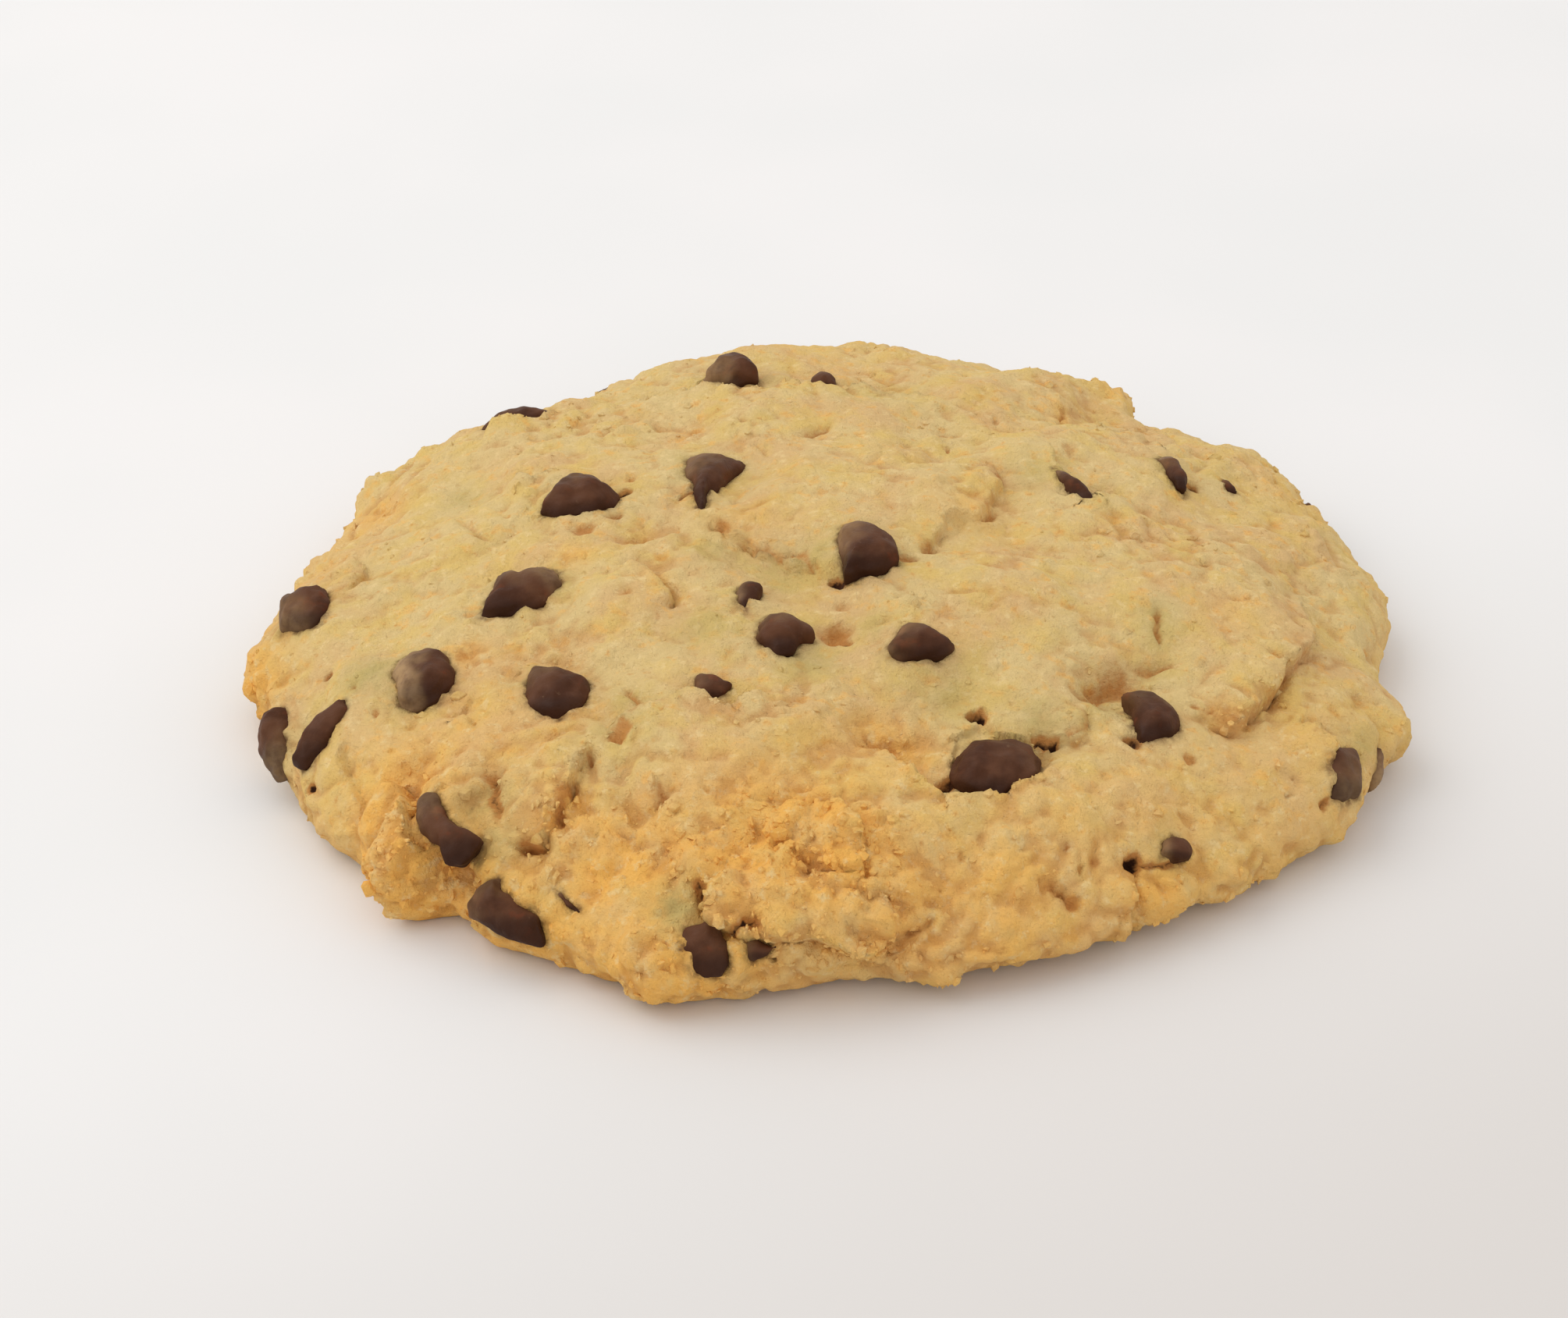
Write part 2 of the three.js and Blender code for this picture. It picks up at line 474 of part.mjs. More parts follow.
// A chip standing on its tip, crown up, its widest ring at height 0
function chipGeometry(chip, grow) {
  const corners = grownCorners(chip.corners, grow);
  const reach = chip.corners.reduce((sum, [x, y]) => sum + Math.hypot(x, y), 0) / chip.corners.length;
  const above = chip.out + grow;
  const below = CHIP_DEPTH_SHARE * 2 * reach + grow;
  const positions = [0, 0, above];
  const indices = [];
  const rings = [
    ...(chip.crown ?? CHIP_CROWN).map(([share, up]) => [share, up * above]),
    ...CHIP_ROOT.map(([share, down]) => [share, -down * below]),
  ];
  for (const [share, height] of rings) {
    for (const [x, y] of corners) positions.push(share * x, share * y, height);
  }
  positions.push(0, 0, -below);
  const sides = corners.length;
  const ringStart = (ring) => 1 + ring * sides;
  for (let i = 0; i < sides; i++) {
    const next = (i + 1) % sides;
    indices.push(0, ringStart(0) + i, ringStart(0) + next);
    for (let ring = 0; ring + 1 < rings.length; ring++) {
      const upper = ringStart(ring);
      const lower = ringStart(ring + 1);
      indices.push(upper + i, lower + i, lower + next, upper + i, lower + next, upper + next);
    }
    const last = ringStart(rings.length - 1);
    indices.push(last + i, ringStart(rings.length), last + next);
  }
  return closedGeometry(positions, indices);
}

// Frame of a chip in the top: out of the dough, to the right, and away from the near side
function topPlace(chip) {
  const angle = Math.atan2(chip.y, chip.x);
  const { point, out } = surfacePoint(angle, lengthAt(chip.x, chip.y));
  const right = new THREE.Vector3(1, 0, 0).addScaledVector(out, -out.x).normalize();
  const away = new THREE.Vector3().crossVectors(out, right);
  return new THREE.Matrix4().makeBasis(right, away, out).setPosition(point);
}

// Frame of a chip in the underside, its crown level with the flat face
function undersidePlace(chip) {
  const right = new THREE.Vector3(1, 0, 0);
  const down = new THREE.Vector3(0, 0, -1);
  const away = new THREE.Vector3().crossVectors(down, right);
  const level = new THREE.Vector3(chip.x, chip.y, chip.out + UNDERSIDE_CLEARANCE);
  return new THREE.Matrix4().makeBasis(right, away, down).setPosition(level);
}

function toSolid(geometry) {
  const merged = mergeVertices(geometry, 1e-5);
  const vertProperties = new Float32Array(merged.attributes.position.array);
  const triVerts = new Uint32Array(merged.index.array);
  return new wasm.Manifold(new wasm.Mesh({ numProp: 3, vertProperties, triVerts }));
}

function toGeometry(solid) {
  const mesh = solid.getMesh();
  return closedGeometry(Array.from(mesh.vertProperties), Array.from(mesh.triVerts));
}

// The dough with a pocket for each chip, without loose scraps
function cutPockets(dough, pockets) {
  let rest = dough;
  for (const pocket of pockets) rest = rest.subtract(pocket);
  const pieces = rest.decompose();
  pieces.sort((one, other) => other.volume() - one.volume());
  return pieces[0];
}

const withCorners = (chip, order) => ({ ...chip, corners: plainCorners(chip, order) });
const back = BACK_CHIPS.map(withCorners);
const underside = UNDERSIDE_CHIPS.map(withCorners).map((chip) => {
  return { ...chip, out: UNDERSIDE_CHIP_OUT, crown: FLAT_CROWN };
});
const chips = [
  ...[...TOP_CHIPS, ...back].map((chip) => ({ chip, place: topPlace(chip) })),
  ...underside.map((chip) => ({ chip, place: undersidePlace(chip) })),
];

const cookie = new THREE.Group();
cookie.position.set(-OUTLINE_MIDDLE.x, -OUTLINE_MIDDLE.y, 0);

const pockets = chips.map(({ chip, place }) => toSolid(chipGeometry(chip, CHIP_GAP).applyMatrix4(place)));
const dough = new THREE.Mesh(toGeometry(cutPockets(toSolid(doughGeometry()), pockets)), doughMaterial);
dough.name = 'dough';
cookie.add(dough);

chips.forEach(({ chip, place }, order) => {
  const mesh = new THREE.Mesh(chipGeometry(chip, 0), chipMaterial);
  mesh.name = `chip_${String(order + 1).padStart(2, '0')}`;
  mesh.applyMatrix4(place);
  cookie.add(mesh);
});

export default cookie;
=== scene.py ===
"""Looks of a large soft-baked chocolate chip cookie: craggy dough, chips, crumbs, floor, light and camera."""
import math

import bmesh
import bpy
import numpy as np
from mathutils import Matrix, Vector
from mathutils.bvhtree import BVHTree


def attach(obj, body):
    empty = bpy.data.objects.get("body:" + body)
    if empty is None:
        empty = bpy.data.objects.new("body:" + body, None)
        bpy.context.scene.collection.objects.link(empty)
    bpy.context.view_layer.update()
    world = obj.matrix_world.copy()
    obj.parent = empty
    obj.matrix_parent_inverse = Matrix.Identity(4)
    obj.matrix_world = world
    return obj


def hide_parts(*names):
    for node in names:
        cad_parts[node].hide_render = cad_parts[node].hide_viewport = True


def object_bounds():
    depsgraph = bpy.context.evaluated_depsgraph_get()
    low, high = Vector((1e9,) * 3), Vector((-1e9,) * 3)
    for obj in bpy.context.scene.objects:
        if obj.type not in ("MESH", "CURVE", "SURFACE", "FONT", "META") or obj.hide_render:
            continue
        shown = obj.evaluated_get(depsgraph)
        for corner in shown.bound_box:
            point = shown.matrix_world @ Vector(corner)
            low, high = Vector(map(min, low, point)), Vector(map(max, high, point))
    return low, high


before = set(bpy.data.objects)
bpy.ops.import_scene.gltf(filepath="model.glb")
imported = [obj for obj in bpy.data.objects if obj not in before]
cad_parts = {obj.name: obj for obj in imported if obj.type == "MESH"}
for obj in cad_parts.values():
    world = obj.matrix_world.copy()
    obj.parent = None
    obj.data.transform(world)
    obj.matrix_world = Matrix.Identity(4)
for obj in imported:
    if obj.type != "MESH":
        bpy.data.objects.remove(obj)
cad_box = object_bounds()

MM = 0.001

# Driving dimensions of the dough's plain form, in millimetres, as the solids have them
RADIUS = 51.9
MIDDLE_HEIGHT = 17.0
RIM_HEIGHT = 4.0
DOME_POWER = 2.2
RIM_ROUNDNESS = 0.55
UNDERCUT = 0.06
# At the front right the rim stands clear of the table: direction, further undercut, half width in degrees
CLEAR_RIM = (293, 0.11, 20)
OUTLINE_MIDDLE = np.array([0.35, -1.13, 0.0])

# Fineness of the visible dough
TOP_RINGS = 168
RIM_RINGS = 10
UNDERSIDE_RINGS = 29

# Lumps and notches of the outline seen from above: direction, how far it stands out, half width in degrees
OUTLINE_LUMPS = [
    (31, 1.0, 4), (45, -4.5, 5.2), (54, 1.6, 2.4), (98, 3.5, 7), (107, 0.8, 4), (125, -2.6, 5), (149, 1.0, 8),
    (166, -2.5, 7), (190, 1.6, 4), (204, 0.9, 8), (217, 1.0, 6), (230, 2.8, 3.2),
    (256, 2.0, 5), (272, -1.5, 7), (300, -1.3, 7), (327, 1.7, 9), (342, 1.6, 4), (2, 0.6, 7),
]

# Finer lumps and notches of the outline, which the solids leave out
FINE_OUTLINE = [
    (47.6, -1.3, 1.6), (52, 1.0, 1.3), (40, -0.8, 1.5), (131, 0.6, 1.5), (136.5, -0.7, 1.2), (140, 0.7, 1.3),
    (147, 0.6, 1.2), (153.5, 0.9, 1.3), (157.5, -0.3, 1.2), (163, 0.5, 1.2), (169, 1.0, 1.4), (173, 0.6, 1.0),
    (225.8, -0.6, 1.1), (228.6, 0.4, 0.9), (233, -1.9, 2.5),
    (251.6, -0.8, 1.0), (264.5, -0.6, 0.8), (262.3, 0.4, 0.8), (299.8, -0.6, 0.6), (298.3, 0.5, 0.7),
    (303, -0.3, 1.0), (311, 0.6, 2.0), (340, 0.5, 0.8), (344.5, -0.5, 0.8), (13, 0.5, 1.2), (17.5, -0.6, 1.0),
    (21, 0.5, 1.1),
]

# Broad mounds and hollows: place seen from above, half widths, height
MOUNDS = [
    (5, 4, 13, 9, 0.9), (-15, -38, 10, 7, 1.3), (1, -44, 6, 4, 1.0), (2, -49, 7, 4, 0.8),
    (-11.8, -53.8, 5, 4, 1.0), (50.5, -18, 5, 6, 0.9), (-50, -11, 5, 6, 0.9), (31, 37, 4, 4, 0.9),
    (-28, -32, 7, 5, 0.9), (24, -13, 14, 7, 0.7), (-22, 14, 12, 8, 0.6), (14, -34, 6, 4, -1.2),
    (-9, 34, 8, 4, -1.0), (25, -25.5, 3.5, 2.5, -1.3), (-31, -43.5, 4, 3.5, -1.3), (-1, -23.5, 5, 2.5, -0.6),
]

# Ledges, the higher side on the right of the way they run: rise and its reach, drop and its reach, path
LEDGES = [
    (0.7, 8, 1.8, 4.5, [(-24, 25.5), (-19, 26.2), (-12, 26.2), (-4, 25.6), (5.5, 26.2), (15, 24)]),
    (0.5, 5, 1.4, 3.5, [(-33, 20), (-28.6, 23.2), (-24, 27)]),
    (0.5, 6, 0.9, 3.5, [(19, 14), (21.5, 10.9), (23.2, 5.9), (25.5, 3.6), (30.6, 6.1)]),
    (0.6, 8, 0.7, 4, [(2, -12.5), (-0.3, -9.7), (-4.2, -7.6), (-7.5, -5.3), (-11.5, -0.9)]),
    (0.3, 6, 0.6, 3, [(16, 10), (16.5, 7.2), (15.4, 0.7), (11.1, -3.3), (7.3, -9)]),
    (0.4, 5, 0.5, 3, [(-18.5, -9.9), (-16.2, -11.1), (-14.2, -13.4), (-13, -16.2)]),
    (0.9, 7, 0.9, 3, [(-19.4, -33.8), (-16.3, -32.1), (-11.1, -29.7), (-8, -31), (-3.9, -26.6)]),
    (0.9, 6, 1.2, 4, [(2.5, -31.7), (6.8, -37.7), (9.7, -40.6), (15.5, -40.1), (21.3, -34)]),
    (0.5, 5, 0.8, 3, [(22.4, -27.3), (21.8, -31.3), (18.4, -32.5), (12, -31)]),
    (0.8, 7, 1.2, 4, [(44.5, -4), (43.7, -12.2), (39.5, -20.5), (35.2, -27.2), (31.4, -26.7)]),
    (1.0, 4, 0.6, 3, [(41.2, -25.5), (43.4, -26), (43.4, -28.9), (43, -31.5)]),
    (1.5, 5, 1.4, 3.5, [(8.4, -50.6), (3.3, -52), (-4.3, -52.2), (-9.2, -51.2), (-10, -48.3)]),
    (1.1, 5, 1.4, 3.5, [(-38.2, -32), (-34.9, -39.5), (-33.6, -41.8)]),
    (0.6, 4, 1.0, 2.5, [(-19.7, -33.8), (-21, -36.9), (-21.7, -39.3), (-23.8, -42.1), (-27, -42.1)]),
    (0.6, 5, 0.8, 3, [(25.7, -43.1), (25.1, -45.2), (24.2, -46.8)]),
]

# Finer ledges, which the solids leave out
FINE_LEDGES = [
    (0.4, 3, 0.6, 2, [(2.1, -42.4), (2.3, -44.5), (2.5, -46.9), (2.9, -49.2)]),
    (0.3, 2, 0.5, 1.5, [(2.6, -46.7), (1.7, -47.7), (-1.1, -47.2), (-2.8, -46.1)]),
    (0.3, 2, 0.4, 1.5, [(3.2, -49.4), (5.0, -50.0), (5.2, -51.0), (4.2, -51.8)]),
    (0.3, 3, 0.4, 2, [(-3.5, -41.8), (-1.2, -42.4), (2.0, -42.6)]),
    (0.3, 3, 0.5, 2, [(-41.5, -26.5), (-41.0, -31.0), (-39.2, -35.5)]),
    (0.3, 3, 0.4, 2, [(-30.5, -24.5), (-31.2, -28.0), (-30.0, -31.5)]),
    (0.3, 3, 0.4, 2, [(-43.5, 3.0), (-42.6, -1.5), (-43.6, -6.5)]),
    (0.3, 3, 0.4, 2, [(-30.0, 9.0), (-26.5, 7.4), (-22.0, 8.2)]),
    (0.3, 3, 0.4, 2, [(29.0, 22.0), (33.0, 19.5), (37.5, 20.5)]),
    (0.3, 3, 0.5, 2, [(13.2, -30.5), (10.5, -33.0), (9.5, -36.5)]),
]
# Share of a ledge's path over which it fades in and out at its ends
LEDGE_END = 0.2

# Long waves of the dough: wavelengths along X and Y, phase, height
WAVES = [(27, 61, 0.6, 0.35), (-41, 23, 2.1, 0.3), (15, -19, 4.0, 0.2), (-12, -33, 1.3, 0.18)]

# Small lumps spread over the whole top on a spiral
LUMP_COUNT = 260
LUMP_WIDTH = 2.6
LUMP_HEIGHT = 0.38
GOLDEN_TURN = 2.39996

# What the solids leave out, all in millimetres. Ledge edges are steeper here, ragged, and hang over a little.
LEDGE_EDGE = 0.65
LEDGE_OVERHANG = 0.6
RAGGED = 0.55
RAGGED_CRACK = 0.45

# Fine cracks: depth, half width, how dark their painted shade is, path
CRACKS = [
    # Back, by the notch of the outline
    (0.8, 0.45, 0.55, [(24.3, 28.2), (24.1, 26.0), (24.4, 24.9), (23.7, 21.7)]),
    # Back middle
    (0.7, 0.40, 0.50, [(-1.9, 12.9), (-0.4, 14.7), (0.4, 15.7), (0.9, 17.0)]),
    (0.4, 0.30, 0.30, [(-6.7, 12.0), (-5.5, 11.7), (-4.6, 10.0)]),
    # Left
    (0.7, 0.45, 0.35, [(-33.4, 3.4), (-32.3, 0.7), (-31.5, -0.5), (-29.4, -1.5)]),
    (0.6, 0.60, 0.25, [(-15.8, -10.9), (-14.8, -12.1), (-14.0, -13.3), (-13.6, -15.3), (-12.9, -16.1)]),
    # Middle
    (0.7, 0.55, 0.50, [(-9.5, -2.9), (-8.6, -3.7), (-7.6, -4.7)]),
    (0.6, 0.35, 0.45, [(-7.2, -5.9), (-5.8, -6.4), (-3.3, -7.4), (-1.6, -8.1), (-0.2, -9.9), (0.5, -10.9)]),
    (0.7, 0.45, 0.45, [(-17.0, -26.8), (-16.2, -28.5), (-15.4, -30.0)]),
    # Right of the middle
    (0.7, 0.45, 0.55, [(14.5, -1.3), (15.3, 0.2), (16.1, 1.8)]),
    (0.7, 0.35, 0.75, [(16.2, 7.7), (16.1, 5.6)]),
    # Right
    (0.8, 0.35, 0.60, [(29.7, -14.2), (29.4, -15.5), (29.5, -17.5), (29.7, -19.2)]),
    (1.7, 1.20, 0.55, [(22.8, -26.0), (24.0, -24.4), (26.1, -23.1), (27.5, -22.4)]),
    (0.9, 0.55, 0.50, [(27.5, -22.3), (29.0, -21.2), (31.7, -20.7)]),
    (0.7, 0.60, 0.40, [(34.9, -26.5), (36.6, -25.3), (39.2, -22.3), (41.9, -17.3), (42.9, -15.6),
                       (44.6, -12.5)]),
    (0.7, 0.40, 0.55, [(41.6, -24.6), (42.4, -24.9), (43.3, -25.7)]),
    (0.7, 0.40, 0.45, [(19.8, -31.4), (21.5, -30.8), (22.6, -29.6)]),
    (0.5, 0.30, 0.55, [(30.6, -31.7), (31.4, -32.6)]),
    # Front left
    (0.9, 0.40, 0.75, [(-28.4, -34.8), (-27.9, -36.4), (-27.6, -37.7), (-27.2, -38.9), (-26.9, -40.4)]),
    (0.7, 0.35, 0.55, [(-19.7, -34.8), (-19.7, -36.4)]),
    (1.0, 0.65, 0.60, [(-20.2, -37.4), (-20.8, -38.1), (-22.0, -38.7), (-22.4, -39.9), (-22.2, -40.9),
                       (-22.5, -41.6)]),
    (0.9, 0.80, 0.45, [(-33.2, -42.4), (-32.0, -42.8), (-30.4, -42.9)]),
    # Front lobe
    (1.0, 0.40, 0.80, [(-11.2, -48.7), (-10.4, -48.9), (-10.1, -49.4), (-9.6, -50.4), (-9.0, -50.8)]),
    (0.9, 0.40, 0.90, [(-7.9, -52.3), (-6.4, -51.4), (-4.8, -51.6)]),
    (0.9, 0.45, 0.40, [(-3.2, -46.1), (-0.5, -46.9), (1.9, -47.7)]),
    (0.6, 0.40, 0.25, [(2.6, -50.4), (4.2, -50.0)]),
    (0.7, 0.45, 0.35, [(1.7, -51.6), (3.3, -51.5), (5.8, -51.6)]),
    (0.9, 0.50, 0.45, [(6.6, -51.7), (7.1, -51.3), (8.0, -51.1), (8.3, -50.8), (9.3, -50.6)]),
    (0.9, 0.45, 0.45, [(2.8, -30.9), (3.4, -32.2), (3.8, -33.2), (4.8, -33.0), (5.8, -34.2), (7.1, -35.6),
                       (9.3, -38.0)]),
    # Front right
    (0.5, 0.40, 0.35, [(10.9, -50.3), (11.5, -49.6)]),
    (0.5, 0.30, 0.55, [(20.1, -43.1), (20.0, -44.0)]),
    (0.8, 0.35, 0.55, [(17.3, -47.0), (18.6, -46.8), (18.9, -47.3), (19.8, -47.3), (20.7, -47.6)]),
    (0.7, 0.45, 0.40, [(25.4, -43.9), (25.8, -44.3), (25.4, -45.4)]),
    (0.7, 0.30, 0.80, [(26.0, -43.2), (28.1, -42.3), (29.8, -41.5)]),
]

# Pits: place, half width, depth, how dark their painted shade is
PITS = [
    # Holes with black painted shade
    (12.8, -29.7, 0.6, 2.2, 1.0), (13.6, -29.6, 0.5, 2.0, 1.0), (18.5, -31.9, 0.5, 1.8, 0.85),
    (19.4, -32.0, 0.5, 2.2, 1.0), (35.3, 11.4, 0.8, 1.8, 1.0), (26.3, -31.7, 0.6, 1.2, 0.85),
    (10.1, -37.7, 0.8, 1.6, 0.9), (25.7, -43.0, 0.8, 1.6, 1.0), (-12.4, 2.6, 0.6, 1.6, 1.0),
    (-18.3, 3.2, 0.8, 1.5, 1.0), (1.4, -12.1, 0.6, 1.4, 1.0), (-11.6, 31.4, 0.5, 1.2, 0.9),
    (-43.7, -17.3, 0.45, 1.0, 0.9), (-44.3, -29.0, 0.45, 0.9, 0.9), (44.0, -24.9, 0.5, 1.0, 0.8),
    (-1.1, -47.4, 0.35, 0.7, 0.55), (-13.0, -52.9, 0.35, 0.5, 0.6), (42.7, -32.3, 0.45, 0.8, 0.7),
    (-24.6, -42.5, 0.8, 1.4, 0.6), (-18.9, -0.8, 0.7, 1.0, 0.6), (-21.6, -2.8, 1.0, 1.0, 0.6),
    # Shallow pits with brown painted shade
    (1.3, -19.6, 1.3, 1.3, 0.55), (2.0, -20.8, 0.7, 0.9, 0.8), (5.4, -33.4, 1.2, 1.0, 0.45),
    (6.8, -34.6, 1.6, 0.8, 0.30), (23.4, -26.2, 1.1, 0.9, 0.45), (9.7, -6.7, 0.9, 1.0, 0.5),
    (7.6, -8.9, 0.8, 0.9, 0.5), (-16.4, -4.5, 0.9, 0.8, 0.45), (-17.5, 5.9, 0.6, 0.6, 0.4),
    (-16.7, -34.0, 0.8, 0.9, 0.6), (18.7, -33.8, 1.1, 0.7, 0.3), (-23.7, -42.7, 0.6, 0.9, 0.6),
    (26.4, 6.3, 1.3, 0.8, 0.25), (-22.6, -7.5, 1.3, 0.6, 0.3), (-31.6, -19.8, 0.9, 0.6, 0.4),
    (34.9, -26.5, 1.0, 0.7, 0.4), (31.9, -26.2, 0.5, 0.6, 0.5), (33.2, -26.6, 0.4, 0.5, 0.5),
    (37.3, -35.1, 0.9, 0.5, 0.35), (47.7, -18.9, 0.8, 0.6, 0.35), (17.7, -47.0, 0.7, 0.6, 0.4),
    (20.4, -47.4, 0.6, 0.7, 0.6), (-31.6, -43.3, 0.4, 0.7, 0.6), (-30.3, -43.2, 0.4, 0.6, 0.6),
    (-32.4, -43.2, 2.4, 1.6, 0.28), (-30.4, -44.2, 2.0, 1.4, 0.25), (-28.6, -38.6, 1.6, 0.8, 0.2),
    (4.2, -32.9, 2.0, 0.7, 0.2), (11.8, -28.4, 2.2, 0.6, 0.15), (24.0, -24.8, 2.0, 0.9, 0.2),
    # Small specks: tiny pits with dark painted shade
    (-13.2, -40.7, 0.45, 0.7, 0.55), (-13.6, -41.5, 0.3, 0.5, 0.6), (-12.9, -45.4, 0.45, 0.5, 0.45),
    (-17.6, -14.8, 0.6, 0.5, 0.4), (1.7, -15.8, 0.7, 0.5, 0.3), (-6.6, -6.0, 0.6, 0.5, 0.4),
    (11.8, 17.1, 0.5, 0.4, 0.5), (12.3, 14.0, 0.45, 0.4, 0.5), (11.4, 10.1, 1.0, 0.4, 0.25),
    (23.8, 13.6, 0.9, 0.4, 0.35), (34.7, -6.2, 0.5, 0.5, 0.4), (-40.8, -21.2, 0.4, 0.4, 0.45),
    (-38.4, -25.5, 0.4, 0.4, 0.55), (8.5, -49.6, 0.4, 0.4, 0.4), (9.3, -48.5, 0.3, 0.4, 0.5),
    (11.1, -45.8, 0.3, 0.4, 0.4), (22.1, -44.0, 0.35, 0.4, 0.5), (21.0, -44.9, 0.35, 0.5, 0.5),
    (40.2, -31.2, 0.3, 0.3, 0.4), (39.9, -33.1, 0.35, 0.35, 0.4), (42.0, -12.2, 0.8, 0.3, 0.25),
    (-3.7, -45.5, 0.5, 0.4, 0.35), (17.2, 20.6, 0.6, 0.4, 0.3), (-35.0, -6.5, 0.5, 0.3, 0.25),
]

# Places where the dough is baked more orange: place, half width, strength
BROWNED = [
    (-36, -40, 7, 1.0), (-34, -44, 6, 0.8), (-37, -32, 5, 0.35), (-50.6, -11.8, 4.5, 0.8),
    (-42.8, 13.4, 4, 0.6), (-47, 2, 4, 0.4), (-16.4, -45.8, 5, 0.75), (-5, -42, 6, 0.55),
    (0, -46.5, 4.5, 0.8), (12.8, -50, 6, 0.5), (-10, -54, 7, 0.6), (4.5, -49.5, 6, 0.55), (27, -44, 4, 0.5),
    (-31, -19.6, 1.8, 0.6), (-22.6, -7.5, 2.2, 0.7), (-22, -40, 2.5, 0.7), (5.8, -33.6, 3, 0.85),
    (24, 26, 2, 0.6), (14, 0, 3.5, 0.45), (-15, -12, 2, 0.4), (36.9, -13.3, 3, 0.35),
    (34.9, -26.5, 1.6, 0.5), (-7.5, -3, 3.5, 0.35), (29.8, 38.7, 4, 0.5), (45, 17, 5, 0.3),
    (-28, -48, 6, 0.5), (18, -44, 8, 0.5), (-2, 47, 9, 0.25), (11, -22, 2, 0.3), (-22, -51, 9, 0.45),
    (33, -38, 8, 0.45), (43, -26, 7, 0.35), (3, -38, 8, 0.3), (-27, -30, 8, 0.3), (-8, -47, 7, 0.4),
]

# Chips that lie just under the dough and tint it: place, half width, strength
BURIED = [
    (-39.0, -20.5, 3.0, 0.9), (-33.7, 9.7, 2.8, 0.6), (-10.1, -19.6, 3.0, 0.6), (-3.7, -10.4, 3.2, 0.65),
    (10.3, -27.0, 4.0, 0.6), (18.3, -30.2, 2.2, 0.8), (29.8, -16.2, 2.4, 0.7), (-28.7, -38.2, 2.6, 0.6),
    (-12.0, -50.6, 2.4, 0.95), (19.7, 7.4, 2.4, 0.55), (0.5, -8.1, 1.8, 0.5), (-12.5, 9.6, 1.8, 0.4),
    (-26.9, -41.8, 2.0, 0.6), (-45.8, -22.6, 1.4, 0.7), (-24.8, -24.8, 2.4, 0.5), (-9.3, -7.2, 2.8, 0.6),
    (-1.0, -24.3, 3.0, 0.6), (6.3, 27.0, 4.0, 0.5), (46.7, -24.6, 2.2, 0.7), (24.0, -27.0, 1.8, 0.7),
    (-17.0, -33.0, 2.6, 0.5), (-5.0, 31.0, 3.0, 0.4), (11.5, -39.6, 1.6, 0.8), (-16.8, -29.0, 2.2, 0.45),
    (28.6, -21.8, 2.0, 0.5), (4.6, -19.4, 2.0, 0.5),
]

# Chips with a film of dough or dust: direction of the filmed side in degrees, strength
FILMS = {
    "chip_01": (190, 0.5), "chip_02": (120, 0.15), "chip_03": (140, 0.1), "chip_04": (140, 0.35),
    "chip_05": (110, 0.3), "chip_06": (150, 0.5), "chip_07": (130, 0.4), "chip_08": (130, 0.55),
    "chip_10": (70, 0.55), "chip_11": (200, 0.3), "chip_12": (170, 0.4), "chip_13": (100, 0.35),
    "chip_14": (140, 0.35), "chip_15": (180, 0.8), "chip_16": (110, 0.2), "chip_17": (140, 0.15),
    "chip_18": (110, 0.15), "chip_19": (60, 0.05), "chip_20": (300, 0.3), "chip_21": (215, 0.0),
    "chip_22": (-30, 0.2), "chip_23": (-60, 0.6), "chip_26": (60, 0.1), "chip_27": (150, 0.9),
    "chip_28": (160, 0.5),
}

# The film on chips that aren't listed
PLAIN_FILM = (120, 0.25)

# How far the dough draws back inside a chip's outline, on top and on the underside
CHIP_SINK = 1.1
UNDERSIDE_SINK = 0.8

# Crumb relief: size of lumps, noise seed, sharpness, level of creases, height, more height where rough
CRUMB_RELIEF = [
    (5.5, 5, 1.0, 0.30, 0.55, 0.90),
    (3.0, 6, 1.2, 0.35, 0.25, 1.15),
    (1.7, 7, 1.1, 0.30, 0.18, 0.65),
]

# Crumbs that lie half sunk in the dough
CRUMB_COUNT = 2600

# Depth over which the look is pressed in at the walls of the solids' box
SOFT_WALL = 0.5

# The camera stands where the photo was taken from: degrees down, and a lens for a 36 mm wide frame
CAMERA_PLACE = np.array([-3.37, -278.21, 174.35])
CAMERA_TILT = 32.0
CAMERA_LENS = 80.0

# One soft lamp from the back left, in metres, and even pale surroundings
LAMP_PLACE = (-0.64, 0.13, 0.80)
LAMP_WIDTH = 1.1
LAMP_DEPTH = 0.9
LAMP_ENERGY = 3.8
SURROUNDINGS = 0.885

FLOOR_HALF = 3.0

STRAIGHT_UP = Vector((0, 0, 1))

rng = np.random.default_rng(11)
PERMUTATION = rng.permutation(256)
GRADIENTS = rng.normal(size=(256, 3))
GRADIENTS /= np.linalg.norm(GRADIENTS, axis=1, keepdims=True)


def bell(distance, width=1.0):
    return np.exp(-((distance / width) ** 2))


def smooth_step(value):
    t = np.clip(value, 0, 1)
    return t * t * (3 - 2 * t)


def noise(points, size, seed):
    """Smooth noise from about -1 to 1 at points in mm, with lumps about size mm across."""
    p = points / size + seed * 17.31
    cell = np.floor(p).astype(int)
    part = p - cell
    blend = part * part * part * (part * (part * 6 - 15) + 10)
    total = np.zeros(len(p))
    for corner in np.ndindex(2, 2, 2):
        x, y, z = (cell + corner).T & 255
        pick = PERMUTATION[(PERMUTATION[(PERMUTATION[x] + y) & 255] + z) & 255]
        slope = ((part - corner) * GRADIENTS[pick]).sum(1)
        weight = np.prod(np.where(corner, blend, 1 - blend), axis=1)
        total += slope * weight
    return total * 1.7


def degrees_away(angle, at):
    return (np.degrees(angle) - at + 180) % 360 - 180


